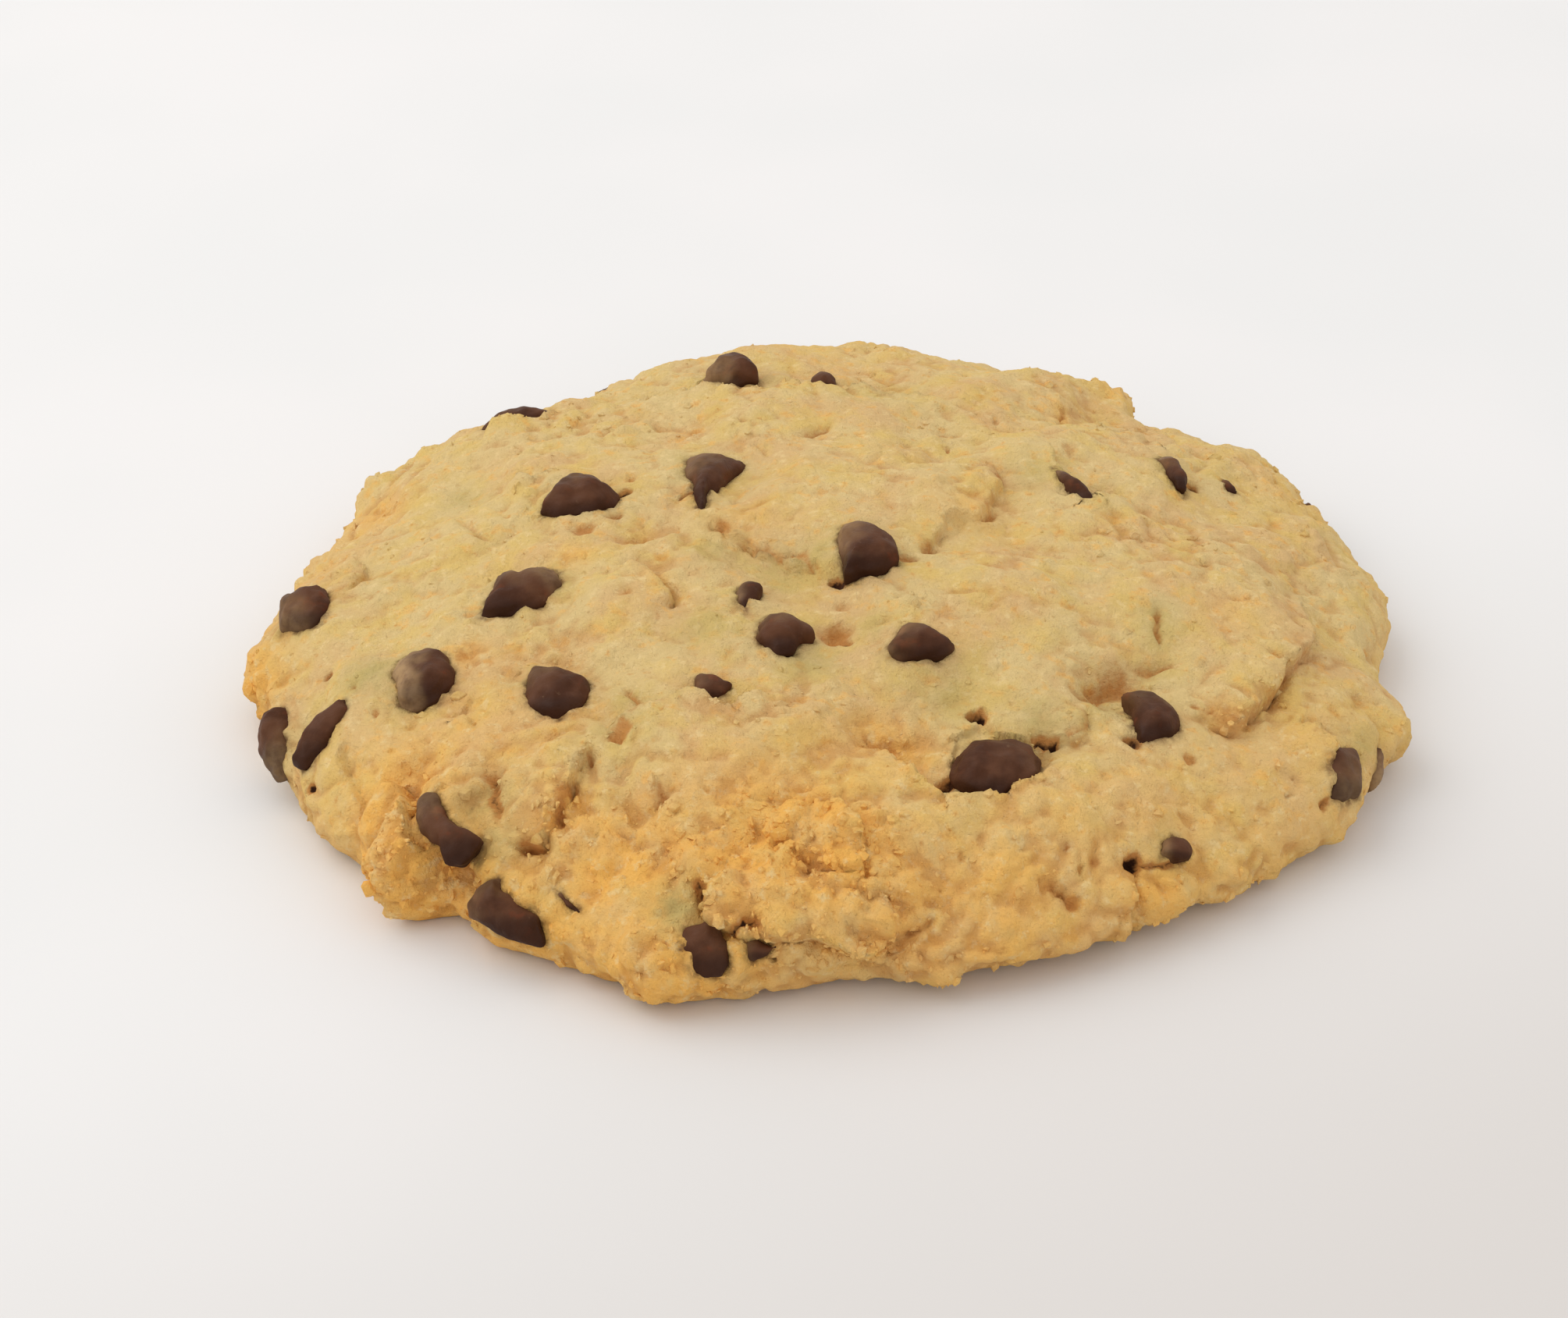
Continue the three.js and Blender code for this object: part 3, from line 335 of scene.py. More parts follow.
def outline_radius(angle):
    """Radius of the widest line in a direction."""
    radius = RADIUS + 2.0 * np.cos(angle + math.radians(64)) + 0.8 * np.cos(2 * (angle - math.radians(60)))
    for at, out, width in OUTLINE_LUMPS:
        radius = radius + out * bell(degrees_away(angle, at), width)
    return radius


def section_points(steps=2400):
    """The plain form's section, from the top's middle over the rim to the underside's edge."""
    step = np.linspace(0, 2, steps + 1)
    share = np.sin(np.minimum(step, 1) * math.pi / 2)
    dome = np.maximum(1 - share ** DOME_POWER, 0) ** RIM_ROUNDNESS
    turn = np.maximum(step - 1, 0) * math.pi / 2
    under = step > 1
    top_height = RIM_HEIGHT + (MIDDLE_HEIGHT - RIM_HEIGHT) * dome
    height = np.where(under, RIM_HEIGHT * (1 - np.sin(turn)), top_height)
    share = np.where(under, 1 - UNDERCUT * (1 - np.cos(turn)), share)
    length = np.concatenate([[0], np.cumsum(np.hypot(np.diff(share) * RADIUS, np.diff(height)))])
    return share, height, length


SHARE, HEIGHT, LENGTH = section_points()
TOP_LENGTH = LENGTH[len(LENGTH) // 2]
WHOLE_LENGTH = LENGTH[-1]
OUTWARD = -np.gradient(HEIGHT, LENGTH)
UPWARD = np.gradient(SHARE * RADIUS, LENGTH)


def roll_out(x, y):
    """A place on the top, seen from above, in the top rolled out flat."""
    angle = math.atan2(y, x)
    share = min(math.hypot(x, y) / float(outline_radius(angle)), 1.0)
    half = len(LENGTH) // 2
    length = np.interp(share, SHARE[: half + 1], LENGTH[: half + 1])
    return length * math.cos(angle), length * math.sin(angle)


def from_path(path, u, v):
    """Distance from a path, the part of it to the path's right, how far along, and the way to its left."""
    flat = [roll_out(x, y) for x, y in path]
    distance = np.full(len(u), np.inf)
    right = np.zeros(len(u))
    along = np.zeros(len(u))
    left_u = np.zeros(len(u))
    left_v = np.zeros(len(u))
    for i, ((u0, v0), (u1, v1)) in enumerate(zip(flat, flat[1:])):
        du, dv = u1 - u0, v1 - v0
        size = math.hypot(du, dv)
        t = np.clip(((u - u0) * du + (v - v0) * dv) / size ** 2, 0, 1)
        away = np.hypot(u - u0 - t * du, v - v0 - t * dv)
        near = away < distance
        distance = np.where(near, away, distance)
        right = np.where(near, ((u - u0) * dv - (v - v0) * du) / size, right)
        along = np.where(near, (i + t) / (len(flat) - 1), along)
        left_u = np.where(near, -dv / size, left_u)
        left_v = np.where(near, du / size, left_v)
    return distance, right, along, left_u, left_v


class Surface:
    """Points of the dough's surface, from their direction and their length along the section."""

    def __init__(self, angle, length):
        self.angle = angle
        self.u, self.v = length * np.cos(angle), length * np.sin(angle)
        share = np.interp(length, LENGTH, SHARE)
        outward = np.interp(length, LENGTH, OUTWARD)
        upward = np.interp(length, LENGTH, UPWARD)
        cos, sin = np.cos(angle), np.sin(angle)
        clear_at, further, clear_width = CLEAR_RIM
        under = np.where(length > TOP_LENGTH, (1 - share) / UNDERCUT, 0)
        share = share - under * further * bell(degrees_away(angle, clear_at), clear_width)
        fine = sum(out * bell(degrees_away(angle, at), width) for at, out, width in FINE_OUTLINE)
        radius = share * outline_radius(angle) + fine * smooth_step((length - 46) / 10)
        self.plain = np.stack([radius * cos, radius * sin, np.interp(length, LENGTH, HEIGHT)], 1)
        self.out = np.stack([outward * cos, outward * sin, upward], 1)
        self.along_section = np.stack([upward * cos, upward * sin, -outward], 1)
        self.along_rim = np.stack([-sin, cos, np.zeros(len(angle))], 1)
        self.fade = smooth_step((WHOLE_LENGTH - length) / 5)

    def sideways(self, du, dv):
        """A shift in the rolled-out top as a shift in space."""
        cos, sin = np.cos(self.angle), np.sin(self.angle)
        outwards = (du * cos + dv * sin)[:, None]
        around = (dv * cos - du * sin)[:, None]
        return outwards * self.along_section + around * self.along_rim


def lump_height(u, v):
    height = np.zeros(len(u))
    for i in range(LUMP_COUNT):
        reach = WHOLE_LENGTH * math.sqrt((i + 0.5) / LUMP_COUNT)
        angle = i * GOLDEN_TURN + 0.35 * math.sin(i * 1.7)
        away = np.hypot(u - reach * math.cos(angle), v - reach * math.sin(angle))
        near = away < 3 * LUMP_WIDTH
        width = LUMP_WIDTH * (1 + 0.3 * math.sin(i * 3.1))
        height[near] += LUMP_HEIGHT * math.sin(i * 2.3) * bell(away[near], width)
    return height


def spots(u, v, places):
    """Sum of bells at places given as x, y, half width and strength, at most 1."""
    total = np.zeros(len(u))
    for x, y, width, strength in places:
        flat_u, flat_v = roll_out(x, y)
        total += strength * bell(np.hypot(u - flat_u, v - flat_v), width)
    return np.minimum(total, 1)


def relief(surface):
    """The relief: height, sideways shift, depth and painted shade of cracks and pits, nearness of ledges and
    their feet.
    """
    u, v = surface.u, surface.v
    height = lump_height(u, v)
    for along_x, along_y, phase, high in WAVES:
        height += high * np.sin((u / along_x + v / along_y) * 2 * math.pi + phase)
    for x, y, wide, long, high in MOUNDS:
        flat_u, flat_v = roll_out(x, y)
        height += high * bell(np.hypot((u - flat_u) / wide, (v - flat_v) / long))
    ragged_u = u + RAGGED * noise(surface.plain, 3.2, 1) + 0.5 * RAGGED * noise(surface.plain, 1.3, 2)
    ragged_v = v + RAGGED * noise(surface.plain, 3.2, 3) + 0.5 * RAGGED * noise(surface.plain, 1.3, 4)
    fine_u = u + RAGGED_CRACK * noise(surface.plain, 1.6, 16)
    fine_v = v + RAGGED_CRACK * noise(surface.plain, 1.6, 17)
    shift = np.zeros((len(u), 3))
    edge = np.zeros(len(u))
    foot = np.zeros(len(u))
    for rise, behind, drop, before, path in LEDGES + FINE_LEDGES:
        distance, right, along, left_u, left_v = from_path(path, ragged_u, ragged_v)
        taper = smooth_step(along / LEDGE_END) * smooth_step((1 - along) / LEDGE_END)
        top = smooth_step(0.5 + right / LEDGE_EDGE)
        height += taper * (top * rise * bell(distance, behind) - (1 - top) * drop * bell(distance, before))
        lip = taper * LEDGE_OVERHANG * bell(right - 0.5, 0.9) * (distance < 3)
        shift += surface.sideways(lip * left_u, lip * left_v)
        strength = taper * min(rise + drop, 2) / 2
        edge = np.maximum(edge, strength * bell(distance, 1.4))
        foot = np.maximum(foot, strength * bell(right + 0.35, 0.4) * (distance < 1.5))
    cut = np.zeros(len(u))
    dark = np.zeros(len(u))
    for depth, width, darkness, path in CRACKS:
        distance, _, along, _, _ = from_path(path, fine_u, fine_v)
        taper = 0.35 + 0.65 * smooth_step(along / 0.25) * smooth_step((1 - along) / 0.25)
        cut = np.maximum(cut, depth * taper * bell(distance, width))
        dark = np.maximum(dark, darkness * taper * np.exp(-((distance / width) ** (1.5 + 2.5 * darkness))))
    for x, y, width, depth, darkness in PITS:
        flat_u, flat_v = roll_out(x, y)
        share = np.hypot(fine_u - flat_u, fine_v - flat_v) / width
        cut = np.maximum(cut, depth * np.exp(-(share ** 3)))
        dark = np.maximum(dark, darkness * np.exp(-((share / 1.2) ** (1.5 + 4.5 * darkness))))
    return height, shift, cut, dark, edge, foot


def crumble(points, rough):
    """Crumb relief of several sizes, as lumps with creases between them, higher where the dough is rough."""
    height = (0.09 + 0.20 * rough) * noise(points, 0.8, 8)
    for size, seed, sharpness, level, least, more in CRUMB_RELIEF:
        lumps = sharpness * np.abs(noise(points, size, seed)) - level
        height += (least + more * rough) * lumps
    return height


def dough_grid():
    """Direction and length along the section of each vertex of the dough's top and rim, and the faces."""
    angles, lengths, faces = [np.zeros(1)], [np.zeros(1)], []
    inner = 0
    total = 1
    for ring in range(1, TOP_RINGS + 1):
        outer = total
        count = 6 * ring
        inner_count = max(6 * (ring - 1), 1)
        angles.append(np.arange(count) / count * 2 * math.pi)
        lengths.append(np.full(count, TOP_LENGTH * ring / TOP_RINGS))
        total += count
        for sector in range(6):
            for i in range(ring):
                near = inner + (sector * (ring - 1) + i) % inner_count
                far = outer + sector * ring + i
                far_next = outer + (sector * ring + i + 1) % count
                faces.append((near, far, far_next))
                if i < ring - 1:
                    faces.append((near, far_next, inner + (sector * (ring - 1) + i + 1) % inner_count))
        inner = outer
    count = 6 * TOP_RINGS
    for ring in range(1, RIM_RINGS + 1):
        lower = total
        angles.append(np.arange(count) / count * 2 * math.pi)
        lengths.append(np.full(count, TOP_LENGTH + (WHOLE_LENGTH - TOP_LENGTH) * ring / RIM_RINGS))
        total += count
        for i in range(count):
            after = (i + 1) % count
            faces.append((inner + i, lower + i, lower + after))
            faces.append((inner + i, lower + after, inner + after))
        inner = lower
    return np.concatenate(angles), np.concatenate(lengths), faces, inner


def stitch(faces, outer, outer_count, inner, inner_count):
    """Joins two rings of different counts, seen from below."""
    i = j = 0
    while i < outer_count or j < inner_count:
        if j >= inner_count or (i < outer_count and (i + 0.5) / outer_count <= (j + 0.5) / inner_count):
            faces.append((outer + (i + 1) % outer_count, outer + i % outer_count, inner + j % inner_count))
            i += 1
        else:
            faces.append((inner + j % inner_count, inner + (j + 1) % inner_count, outer + i % outer_count))
            j += 1


def underside(faces, rim, rim_points, start):
    """Flat underside inside the rim's last ring, with shallow pores that only go up."""
    points = []
    outer, outer_count = rim, 6 * TOP_RINGS
    rim_angle = np.arange(outer_count) / outer_count * 2 * math.pi
    rim_radius = np.hypot(rim_points[:, 0], rim_points[:, 1])
    for ring in range(UNDERSIDE_RINGS - 1, -1, -1):
        count = max(6 * ring, 1)
        angle = np.arange(count) / count * 2 * math.pi
        radius = np.interp(angle, rim_angle, rim_radius, period=2 * math.pi) * ring / UNDERSIDE_RINGS
        inner = start + sum(len(p) for p in points)
        points.append(np.stack([radius * np.cos(angle), radius * np.sin(angle), np.zeros(count)], 1))
        if count == 1:
            faces.extend((outer + (i + 1) % outer_count, outer + i, inner) for i in range(outer_count))
        else:
            stitch(faces, outer, outer_count, inner, count)
        outer, outer_count = inner, count
    flat = np.concatenate(points)
    reach = 1 - np.hypot(flat[:, 0], flat[:, 1]) / RADIUS
    pores = 0.22 * np.maximum(noise(flat, 3.0, 9) + 0.2, 0) + 0.12 * np.maximum(noise(flat, 1.2, 10), 0)
    flat[:, 2] = pores * smooth_step(reach / 0.08)
    return flat


def new_object(name, points, faces):
    """A mesh object from points in the outline's own millimetres."""
    mesh = bpy.data.meshes.new(name)
    placed = (points - OUTLINE_MIDDLE) * MM
    mesh.from_pydata(placed.tolist(), [], faces)
    mesh.update()
    obj = bpy.data.objects.new(name, mesh)
    bpy.context.scene.collection.objects.link(obj)
    return obj


def smooth_shading(obj):
    obj.data.polygons.foreach_set("use_smooth", [True] * len(obj.data.polygons))


def add_attribute(obj, name, values):
    attribute = obj.data.attributes.new(name, "FLOAT", "POINT")
    attribute.data.foreach_set("value", np.asarray(values, dtype=np.float32))


def mesh_points(obj):
    points = np.empty(len(obj.data.vertices) * 3, dtype=np.float32)
    obj.data.vertices.foreach_get("co", points)
    return points.reshape(-1, 3).astype(float) / MM


def set_mesh_points(obj, points):
    obj.data.vertices.foreach_set("co", (points * MM).astype(np.float32).ravel())
    obj.data.update()


def mesh_normals(obj):
    normals = np.empty(len(obj.data.vertices) * 3, dtype=np.float32)
    obj.data.vertex_normals.foreach_get("vector", normals)
    return normals.reshape(-1, 3).astype(float)


def apply_modifiers(obj):
    """Replaces the object's mesh by what its modifiers make of it."""
    graph = bpy.context.evaluated_depsgraph_get()
    made = bpy.data.meshes.new_from_object(obj.evaluated_get(graph), depsgraph=graph)
    old = obj.data
    obj.modifiers.clear()
    obj.data = made
    bpy.data.meshes.remove(old)


def chip_piece(node, order):
    """A chip with softened facets and small dents, from its solid's own mesh."""
    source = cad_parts[node]
    placed = [source.matrix_world @ vertex.co for vertex in source.data.vertices]
    mesh = bpy.data.meshes.new(f"{node}_look")
    mesh.from_pydata(placed, [], [tuple(p.vertices) for p in source.data.polygons])
    chip = bpy.data.objects.new(f"{node}_look", mesh)
    bpy.context.scene.collection.objects.link(chip)
    remesh = chip.modifiers.new("even", "REMESH")
    remesh.mode = "VOXEL"
    remesh.voxel_size = 0.2 * MM
    soften = chip.modifiers.new("soften", "SMOOTH")
    soften.factor = 0.5
    soften.iterations = 3
    apply_modifiers(chip)
    points = mesh_points(chip)
    dents = 0.28 * noise(points, 2.4, 20 + order) + 0.14 * noise(points, 1.1, 60 + order)
    set_mesh_points(chip, points + dents[:, None] * mesh_normals(chip))
    smooth_shading(chip)
    towards, amount = FILMS.get(node, PLAIN_FILM)
    away = points - points.mean(0)
    side = away[:, 0] * math.cos(math.radians(towards)) + away[:, 1] * math.sin(math.radians(towards))
    side /= np.abs(side).max()
    patchy = 0.3 * noise(points, 1.5, 40 + order)
    add_attribute(chip, "film", np.clip(amount * smooth_step((side + patchy + 0.3) / 1.3), 0, 1))
    # Painted shade: each chip darker towards its lower front side
    lowest = 0.5 * away[:, 2] + 0.6 * away[:, 1]
    add_attribute(chip, "shade", smooth_step(0.35 - lowest / np.abs(lowest).max() + 0.3 * patchy))
    return chip


def chip_distances(points, chips):
    """Signed distance of points to the nearest chip, in mm, negative inside, with that chip's number."""
    nearest = np.full(len(points), 9.0)
    which = np.zeros(len(points), dtype=int)
    reach = 3.5
    for number, chip in enumerate(chips):
        own = mesh_points(chip)
        low, high = own.min(0) - reach, own.max(0) + reach
        close = np.nonzero(((points > low) & (points < high)).all(1))[0]
        tree = BVHTree.FromPolygons([Vector(p) for p in own], [tuple(f.vertices) for f in chip.data.polygons])
        for index in close:
            distance = tree.find_nearest(Vector(points[index]))[3]
            exit_normal = tree.ray_cast(Vector(points[index]), STRAIGHT_UP)[1]
            inside_chip = exit_normal is not None and exit_normal.dot(STRAIGHT_UP) > 0
            signed = -distance if inside_chip else distance
            if signed < nearest[index]:
                nearest[index] = signed
                which[index] = number
    return nearest, which


def chip_sides(points, chips, which):
    """For each point: the way from its nearest chip, how far that is to the front, and the film there."""
    middles = np.array([mesh_points(chip).mean(0) for chip in chips])
    films = [FILMS.get(chip.name.removesuffix("_look"), PLAIN_FILM) for chip in chips]
    towards = np.radians([film[0] for film in films])
    amount = np.array([film[1] for film in films])
    away = (points - middles[which]) * (1, 1, 0)
    away /= np.maximum(np.linalg.norm(away, axis=1, keepdims=True), 0.1)
    filmed = away[:, 0] * np.cos(towards[which]) + away[:, 1] * np.sin(towards[which])
    return away, -away[:, 1], amount[which] * smooth_step(0.4 + filmed)


class Skin:
    """What the crumbs need to know of the dough: places, directions out, how likely a crumb is, and looks."""

    def __init__(self, points, out, chance, looks):
        self.points, self.out, self.looks = points, out, looks
        self.chance = chance / chance.sum()


def make_dough(chips):
    """The dough: plain form, broad relief, ledges, cracks, crumb relief, and lips round the chips."""
    angle, length, faces, rim = dough_grid()
    surface = Surface(angle, length)
    height, shift, cut, dark, edge, foot = relief(surface)
    browned = spots(surface.u, surface.v, BROWNED)
    tinted = spots(surface.u, surface.v, BURIED)
    low_rim = smooth_step((length - 50) / 8)
    patchy = noise(surface.plain, 11, 12)
    front_lobe = bell(np.hypot(surface.u + 4, surface.v + 50) / 17)
    rough = 0.14 + 0.3 * browned + 0.25 * low_rim + 0.4 * edge + 0.25 * front_lobe + 0.35 * patchy
    rough = np.clip(rough, 0, 0.9)
    crumb_relief = crumble(surface.plain + surface.out * height[:, None], rough * (1 - 0.5 * tinted))
    fade = surface.fade[:, None]
    points = surface.plain + fade * (surface.out * (height + crumb_relief)[:, None] + shift)
    near, which = chip_distances(points - OUTLINE_MIDDLE, chips)
    away, front, filmed = chip_sides(points - OUTLINE_MIDDLE, chips, which)
    inside = smooth_step(-near / 0.6)
    ragged = noise(points, 1.6, 14) + 0.6 * noise(points, 0.9, 15)
    facing = smooth_step(0.45 + 0.9 * front)
    lip = facing * (0.10 + 0.38 * ragged) * bell(near - 0.4, 0.55)
    lean = facing * np.maximum(0.08 + 0.65 * ragged, 0) * bell(near - 0.2, 0.55)
    film = 0.3 * filmed * bell(near + 0.1, 0.7)
    settle = 0.6 * bell(near, 1.0)
    points -= fade * surface.out * (crumb_relief * settle)[:, None]
    cut *= surface.fade * smooth_step(near / 0.4)
    points += surface.out * (lip + film - cut - CHIP_SINK * inside)[:, None]
    points -= away * lean[:, None]
    points[:, 2] = np.maximum(points[:, 2], 0)
    rim_points = points[rim:rim + 6 * TOP_RINGS]
    below = underside(faces, rim, rim_points, len(points))
    just_above = below - OUTLINE_MIDDLE + (0, 0, 1)
    depth_in_chip = -chip_distances(just_above, chips)[0]
    below[:, 2] += UNDERSIDE_SINK * smooth_step(0.4 + depth_in_chip / 0.5)
    dough = new_object("dough_look", np.concatenate([points, below]), faces)
    smooth_shading(dough)
    browned = np.clip(browned + 0.4 * low_rim, 0, 1)
    tinted = np.maximum(tinted, bell(np.maximum(near, 0), 1.3) * filmed)
    # Painted shade: a dark line in the gap on the front side of each chip
    gap_shade = bell(near - 0.1, 0.4) * smooth_step(0.3 + 0.8 * front)
    # Painted shade: dark colour in cracks and pits and at the feet of ledges
    hollow_shade = np.maximum(dark, 0.35 * foot)
    looks = {
        "browned": browned,
        "tinted": tinted,
        "hollow_shade": hollow_shade,
        # A dark ring round each chip, partly chocolate stain and partly painted shade, strongest in the gap
        # on its front side
        "chip_stain_and_shade": np.maximum(bell(np.maximum(near, 0), 0.28), gap_shade),
        # Painted shade: the low parts of the crumb relief, darkened in the material
        "crumb_relief": np.clip(crumb_relief / 0.45, -1, 1),
    }
    for name, values in looks.items():
        flat = 0.85 if name == "browned" else 0.0
        add_attribute(dough, name, np.concatenate([values, np.full(len(below), flat)]))
    chance = (0.01 + rough ** 3) * smooth_step((length - 6) / 30) * smooth_step(near) * (points[:, 2] > 1.0)
    return dough, Skin(points, surface.out, chance * (hollow_shade < 0.5), looks)


def make_crumbs(skin):
    """Small crumbs half sunk in the dough, most of them on the rim, the ledges and the front lobe."""
    ball = bmesh.new()
    bmesh.ops.create_icosphere(ball, subdivisions=1, radius=1.0)
    corners = np.array([vertex.co for vertex in ball.verts])
    faces = np.array([[vertex.index for vertex in face.verts] for face in ball.faces])
    ball.free()
    picked = rng.choice(len(skin.points), CRUMB_COUNT, replace=False, p=skin.chance)
    size = 0.16 + 0.5 * rng.random(CRUMB_COUNT) ** 3
    stretch = rng.uniform(0.5, 1.4, (CRUMB_COUNT, 1, 3))
    uneven = rng.uniform(0.6, 1.25, (CRUMB_COUNT, len(corners), 1))
    centres = skin.points[picked] - skin.out[picked] * (size * rng.uniform(0.2, 0.7, CRUMB_COUNT))[:, None]
    points = corners * stretch * uneven * size[:, None, None] + centres[:, None]
    all_faces = faces + np.arange(CRUMB_COUNT)[:, None, None] * len(corners)
    crumbs = new_object("dough_crumbs", points.reshape(-1, 3), all_faces.reshape(-1, 3).tolist())
    for name in ("browned", "tinted"):
        add_attribute(crumbs, name, np.repeat(skin.looks[name][picked], len(corners)))
    return crumbs


def keep_inside(obj):
    """Holds the object's points inside the box of the solids, pressing them in softly near its walls."""
    low, high = (np.array(corner) / MM for corner in cad_box)
    points = mesh_points(obj)
    for wall, inwards in ((low, 1), (high, -1)):
        space = (points - wall) * inwards
        pressed = SOFT_WALL * np.exp(np.minimum(space / SOFT_WALL, 1) - 1)
        pressed[:, 2] = np.maximum(space[:, 2], 0) if inwards == 1 else pressed[:, 2]
        points = wall + inwards * np.where(space < SOFT_WALL, pressed, space)
    set_mesh_points(obj, points)


def linear(red, green, blue):
    """A colour given as it looks in a picture, 0 to 255, as the shader wants it."""
    def one(value):
        value /= 255
        return value / 12.92 if value <= 0.04045 else ((value + 0.055) / 1.055) ** 2.4
    return (one(red), one(green), one(blue), 1.0)


class Nodes:
    """Short calls for building a material's nodes."""

    def __init__(self, name):
        self.material = bpy.data.materials.new(name)
        self.material.use_nodes = True
        self.tree = self.material.node_tree
        self.shader = self.tree.nodes["Principled BSDF"]
        self.place = self.add("ShaderNodeTexCoord").outputs["Object"]

    def add(self, kind, **values):
        node = self.tree.nodes.new(kind)
        for key, value in values.items():
            setattr(node, key, value)
        return node

    def link(self, source, target):
        self.tree.links.new(source, target)

    def put(self, socket, value):
        if isinstance(value, bpy.types.NodeSocket):
            self.link(value, socket)
        else:
            socket.default_value = value

    def noise(self, size, detail=3.0, roughness=0.55):
        """Noise from 0 to 1 with lumps about size mm across."""
        node = self.add("ShaderNodeTexNoise")
        self.link(self.place, node.inputs["Vector"])
        node.inputs["Scale"].default_value = 1 / (size * MM)
        node.inputs["Detail"].default_value = detail
        node.inputs["Roughness"].default_value = roughness
        return node.outputs["Fac"]

    def spread(self, value, low, high, out_low=0.0, out_high=1.0):
        node = self.add("ShaderNodeMapRange", interpolation_type="SMOOTHSTEP")
        self.put(node.inputs["Value"], value)
        node.inputs["From Min"].default_value = low
        node.inputs["From Max"].default_value = high
        node.inputs["To Min"].default_value = out_low
        node.inputs["To Max"].default_value = out_high
        return node.outputs["Result"]

    def math(self, operation, one, other):
        node = self.add("ShaderNodeMath", operation=operation)
        self.put(node.inputs[0], one)
        self.put(node.inputs[1], other)
        return node.outputs[0]

    def mix(self, amount, one, other):
        node = self.add("ShaderNodeMix", data_type="RGBA")
        self.put(node.inputs["Factor"], amount)
        self.put(node.inputs["A"], one)
        self.put(node.inputs["B"], other)
        return node.outputs["Result"]

    def attribute(self, name):
        return self.add("ShaderNodeAttribute", attribute_name=name).outputs["Fac"]

    def bump(self, height, distance, strength, normal=None):
        node = self.add("ShaderNodeBump")
        node.inputs["Strength"].default_value = strength
        node.inputs["Distance"].default_value = distance * MM
        self.link(height, node.inputs["Height"])
        if normal is not None:
            self.link(normal, node.inputs["Normal"])
        return node.outputs["Normal"]


def dough_material():
    """Baked dough: pale tan with yellower, pinker and browner patches, painted shade in pits, cracks and
    crumb creases and beside the chips, fine bumps.
    """
    n = Nodes("baked_dough")
    pale = linear(226, 197, 137)
    yellow = linear(229, 194, 112)
    pinkish = linear(224, 184, 127)
    orange = linear(246, 186, 94)
    crumb = linear(242, 213, 154)
    deep = linear(192, 124, 60)
    greenish = linear(190, 170, 108)
    chocolate = linear(96, 58, 36)
    black = linear(56, 31, 17)
    colour = n.mix(n.spread(n.noise(9.0), 0.4, 0.62, 0.0, 0.8), pale, pinkish)
    colour = n.mix(n.spread(n.noise(4.0, 4.0), 0.4, 0.72, 0.0, 0.8), colour, yellow)
    baked = n.math("MULTIPLY", n.attribute("browned"), n.spread(n.noise(2.6, 4.0), 0.25, 0.65, 0.4, 1.0))
    colour = n.mix(baked, colour, orange)
    colour = n.mix(n.spread(n.noise(1.6, 3.0), 0.54, 0.72, 0.0, 0.5), colour, orange)
    colour = n.mix(n.spread(n.noise(1.1, 4.0, 0.65), 0.47, 0.30, 0.0, 0.6), colour, crumb)
    colour = n.mix(n.spread(n.noise(0.8, 4.0, 0.65), 0.57, 0.78, 0.0, 0.5), colour, deep)
    # Painted shade: darker in the creases of the crumb relief
    colour = n.mix(n.spread(n.attribute("crumb_relief"), -0.2, -1.0, 0.0, 0.4), colour, deep)
    tint = n.math("MULTIPLY", n.attribute("tinted"), n.spread(n.noise(2.0), 0.3, 0.6, 0.45, 0.9))
    colour = n.mix(tint, colour, greenish)
    # Painted shade: deep brown to black in cracks, pits and at the feet of ledges
    hollow_shade = n.math("ADD", n.attribute("hollow_shade"), n.spread(n.noise(0.7, 2.0), 0.3, 0.7, -0.08, 0.08))
    colour = n.mix(n.spread(hollow_shade, 0.12, 0.6, 0.0, 0.8), colour, deep)
    colour = n.mix(n.spread(hollow_shade, 0.62, 0.9), colour, black)
    # Dark ring round the chips: partly chocolate stain, partly painted shade in the gap on their front side
    stain = n.math("MULTIPLY", n.attribute("chip_stain_and_shade"), n.spread(n.noise(0.9), 0.35, 0.65, 0.15, 0.85))
    colour = n.mix(stain, colour, chocolate)
    n.link(colour, n.shader.inputs["Base Color"])
    n.shader.inputs["Roughness"].default_value = 0.88
    n.shader.inputs["Specular IOR Level"].default_value = 0.15
    rough = n.bump(n.noise(1.2, 6.0, 0.68), 0.75, 0.85)
    n.link(n.bump(n.noise(0.4, 3.0, 0.65), 0.16, 0.8, rough), n.shader.inputs["Normal"])
    return n.material


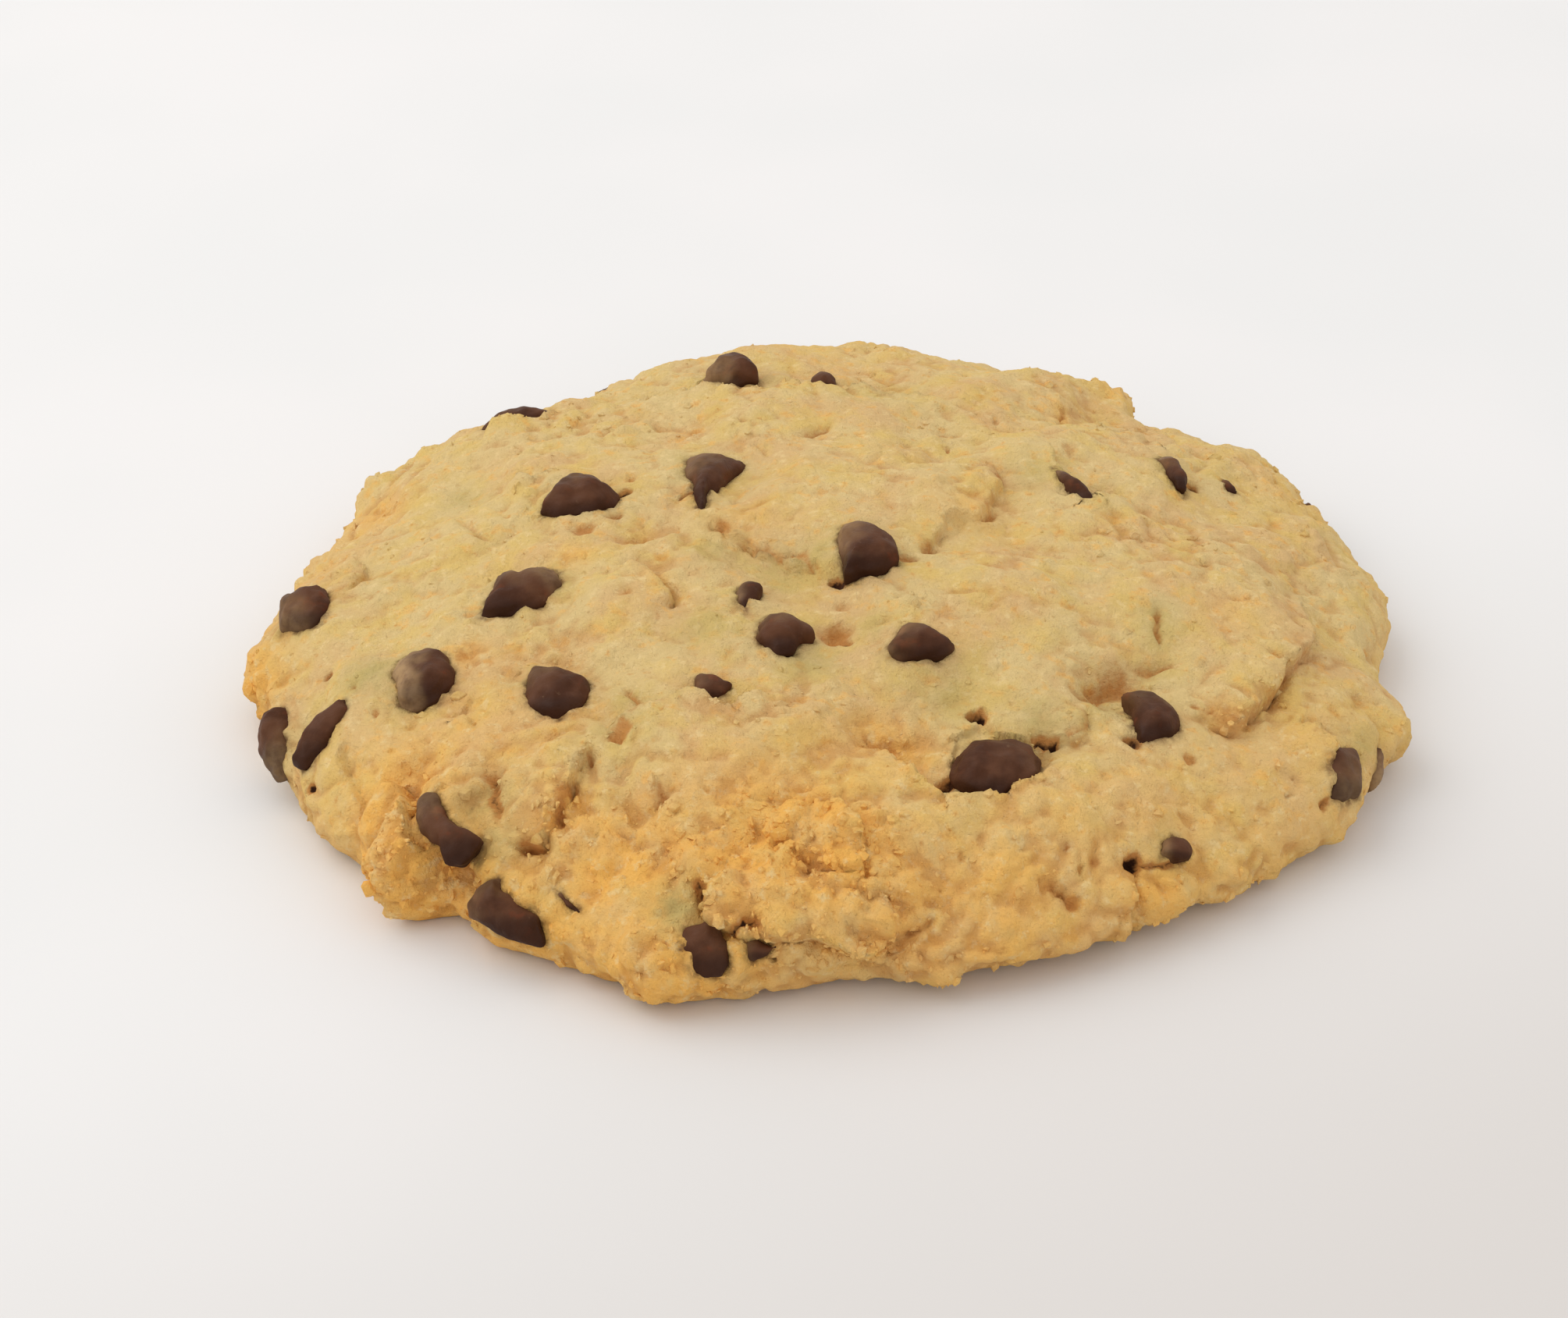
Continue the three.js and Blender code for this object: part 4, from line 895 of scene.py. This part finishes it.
def chip_material():
    """Dark chocolate, nearly matte, with reddish and pale patches and a film of dough on one side."""
    n = Nodes("dark_chocolate")
    dark = linear(70, 39, 22)
    lighter = linear(92, 57, 37)
    reddish = linear(112, 56, 32)
    shade = linear(44, 22, 12)
    dust = linear(150, 118, 90)
    dough = linear(188, 154, 110)
    colour = n.mix(n.spread(n.noise(3.0, 4.0), 0.35, 0.65), dark, lighter)
    colour = n.mix(n.spread(n.noise(1.8, 3.0), 0.58, 0.75, 0.0, 0.5), colour, reddish)
    colour = n.mix(n.spread(n.noise(0.8, 3.0), 0.66, 0.8, 0.0, 0.3), colour, dust)
    # Painted shade on the lower front side of the chips
    colour = n.mix(n.spread(n.attribute("shade"), 0.35, 1.0, 0.0, 0.7), colour, shade)
    film = n.math("MULTIPLY", n.attribute("film"), n.spread(n.noise(0.9, 3.0), 0.25, 0.65, 0.5, 1.0))
    colour = n.mix(film, colour, dough)
    n.link(colour, n.shader.inputs["Base Color"])
    n.link(n.spread(n.noise(1.8, 3.0), 0.35, 0.7, 0.5, 0.75), n.shader.inputs["Roughness"])
    n.shader.inputs["Specular IOR Level"].default_value = 0.14
    soft = n.bump(n.noise(1.4, 4.0, 0.6), 0.35, 0.5)
    n.link(n.bump(n.noise(0.4, 2.0), 0.06, 0.5, soft), n.shader.inputs["Normal"])
    return n.material


def floor_material():
    """Plain pale table top with the faintest mottling, and painted shade darkening it towards the front
    right.
    """
    n = Nodes("pale_floor")
    shade = n.mix(n.spread(n.noise(60.0, 2.0), 0.35, 0.65), linear(232, 231, 230), linear(235, 233, 232))
    split = n.add("ShaderNodeSeparateXYZ")
    n.link(n.place, split.inputs["Vector"])
    # Painted shade: the floor darker towards the front right
    frontwards = n.math("SUBTRACT", n.math("MULTIPLY", split.outputs["X"], 0.6), split.outputs["Y"])
    shade = n.mix(n.spread(frontwards, 0.0, 0.13), shade, linear(215, 210, 206))
    n.link(shade, n.shader.inputs["Base Color"])
    n.shader.inputs["Roughness"].default_value = 0.75
    n.shader.inputs["Specular IOR Level"].default_value = 0.2
    return n.material


def make_floor():
    mesh = bpy.data.meshes.new("floor")
    half = FLOOR_HALF
    corners = [(-half, -half, 0), (half, -half, 0), (half, half, 0), (-half, half, 0)]
    mesh.from_pydata(corners, [], [(0, 1, 2, 3)])
    floor = bpy.data.objects.new("floor", mesh)
    bpy.context.scene.collection.objects.link(floor)
    floor.data.materials.append(floor_material())


def make_light():
    """Even pale surroundings and one large soft lamp from the back left."""
    scene = bpy.context.scene
    world = bpy.data.worlds.new("studio")
    world.use_nodes = True
    background = world.node_tree.nodes["Background"]
    background.inputs["Color"].default_value = (1.0, 0.995, 0.99, 1.0)
    background.inputs["Strength"].default_value = SURROUNDINGS
    scene.world = world
    lamp = bpy.data.lights.new("window", "AREA")
    lamp.shape = "RECTANGLE"
    lamp.size = LAMP_WIDTH
    lamp.size_y = LAMP_DEPTH
    lamp.energy = LAMP_ENERGY
    lamp.color = (1.0, 0.99, 0.97)
    window = bpy.data.objects.new("window", lamp)
    window.location = LAMP_PLACE
    window.rotation_euler = (Vector((0, 0, 0)) - window.location).to_track_quat("-Z", "Y").to_euler()
    scene.collection.objects.link(window)


def make_camera():
    data = bpy.data.cameras.new("camera")
    data.sensor_fit = "HORIZONTAL"
    data.sensor_width = 36.0
    data.lens = CAMERA_LENS
    data.clip_start = 0.01
    camera = bpy.data.objects.new("camera", data)
    camera.location = (CAMERA_PLACE - OUTLINE_MIDDLE) * MM
    camera.rotation_euler = (math.radians(90 - CAMERA_TILT), 0, 0)
    bpy.context.scene.collection.objects.link(camera)
    bpy.context.scene.camera = camera


make_camera()
make_light()
make_floor()
bpy.context.scene.view_settings.view_transform = "Standard"

chip_nodes = sorted(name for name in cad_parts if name.startswith("chip_"))
chips = [chip_piece(node, order) for order, node in enumerate(chip_nodes)]
chocolate_look = chip_material()
for chip, node in zip(chips, chip_nodes):
    keep_inside(chip)
    chip.data.materials.append(chocolate_look)
    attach(chip, "root")
    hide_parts(node)

dough_look = dough_material()
dough, skin = make_dough(chips)
crumbs = make_crumbs(skin)
for piece in (dough, crumbs):
    keep_inside(piece)
    piece.data.materials.append(dough_look)
    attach(piece, "root")
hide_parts("dough")
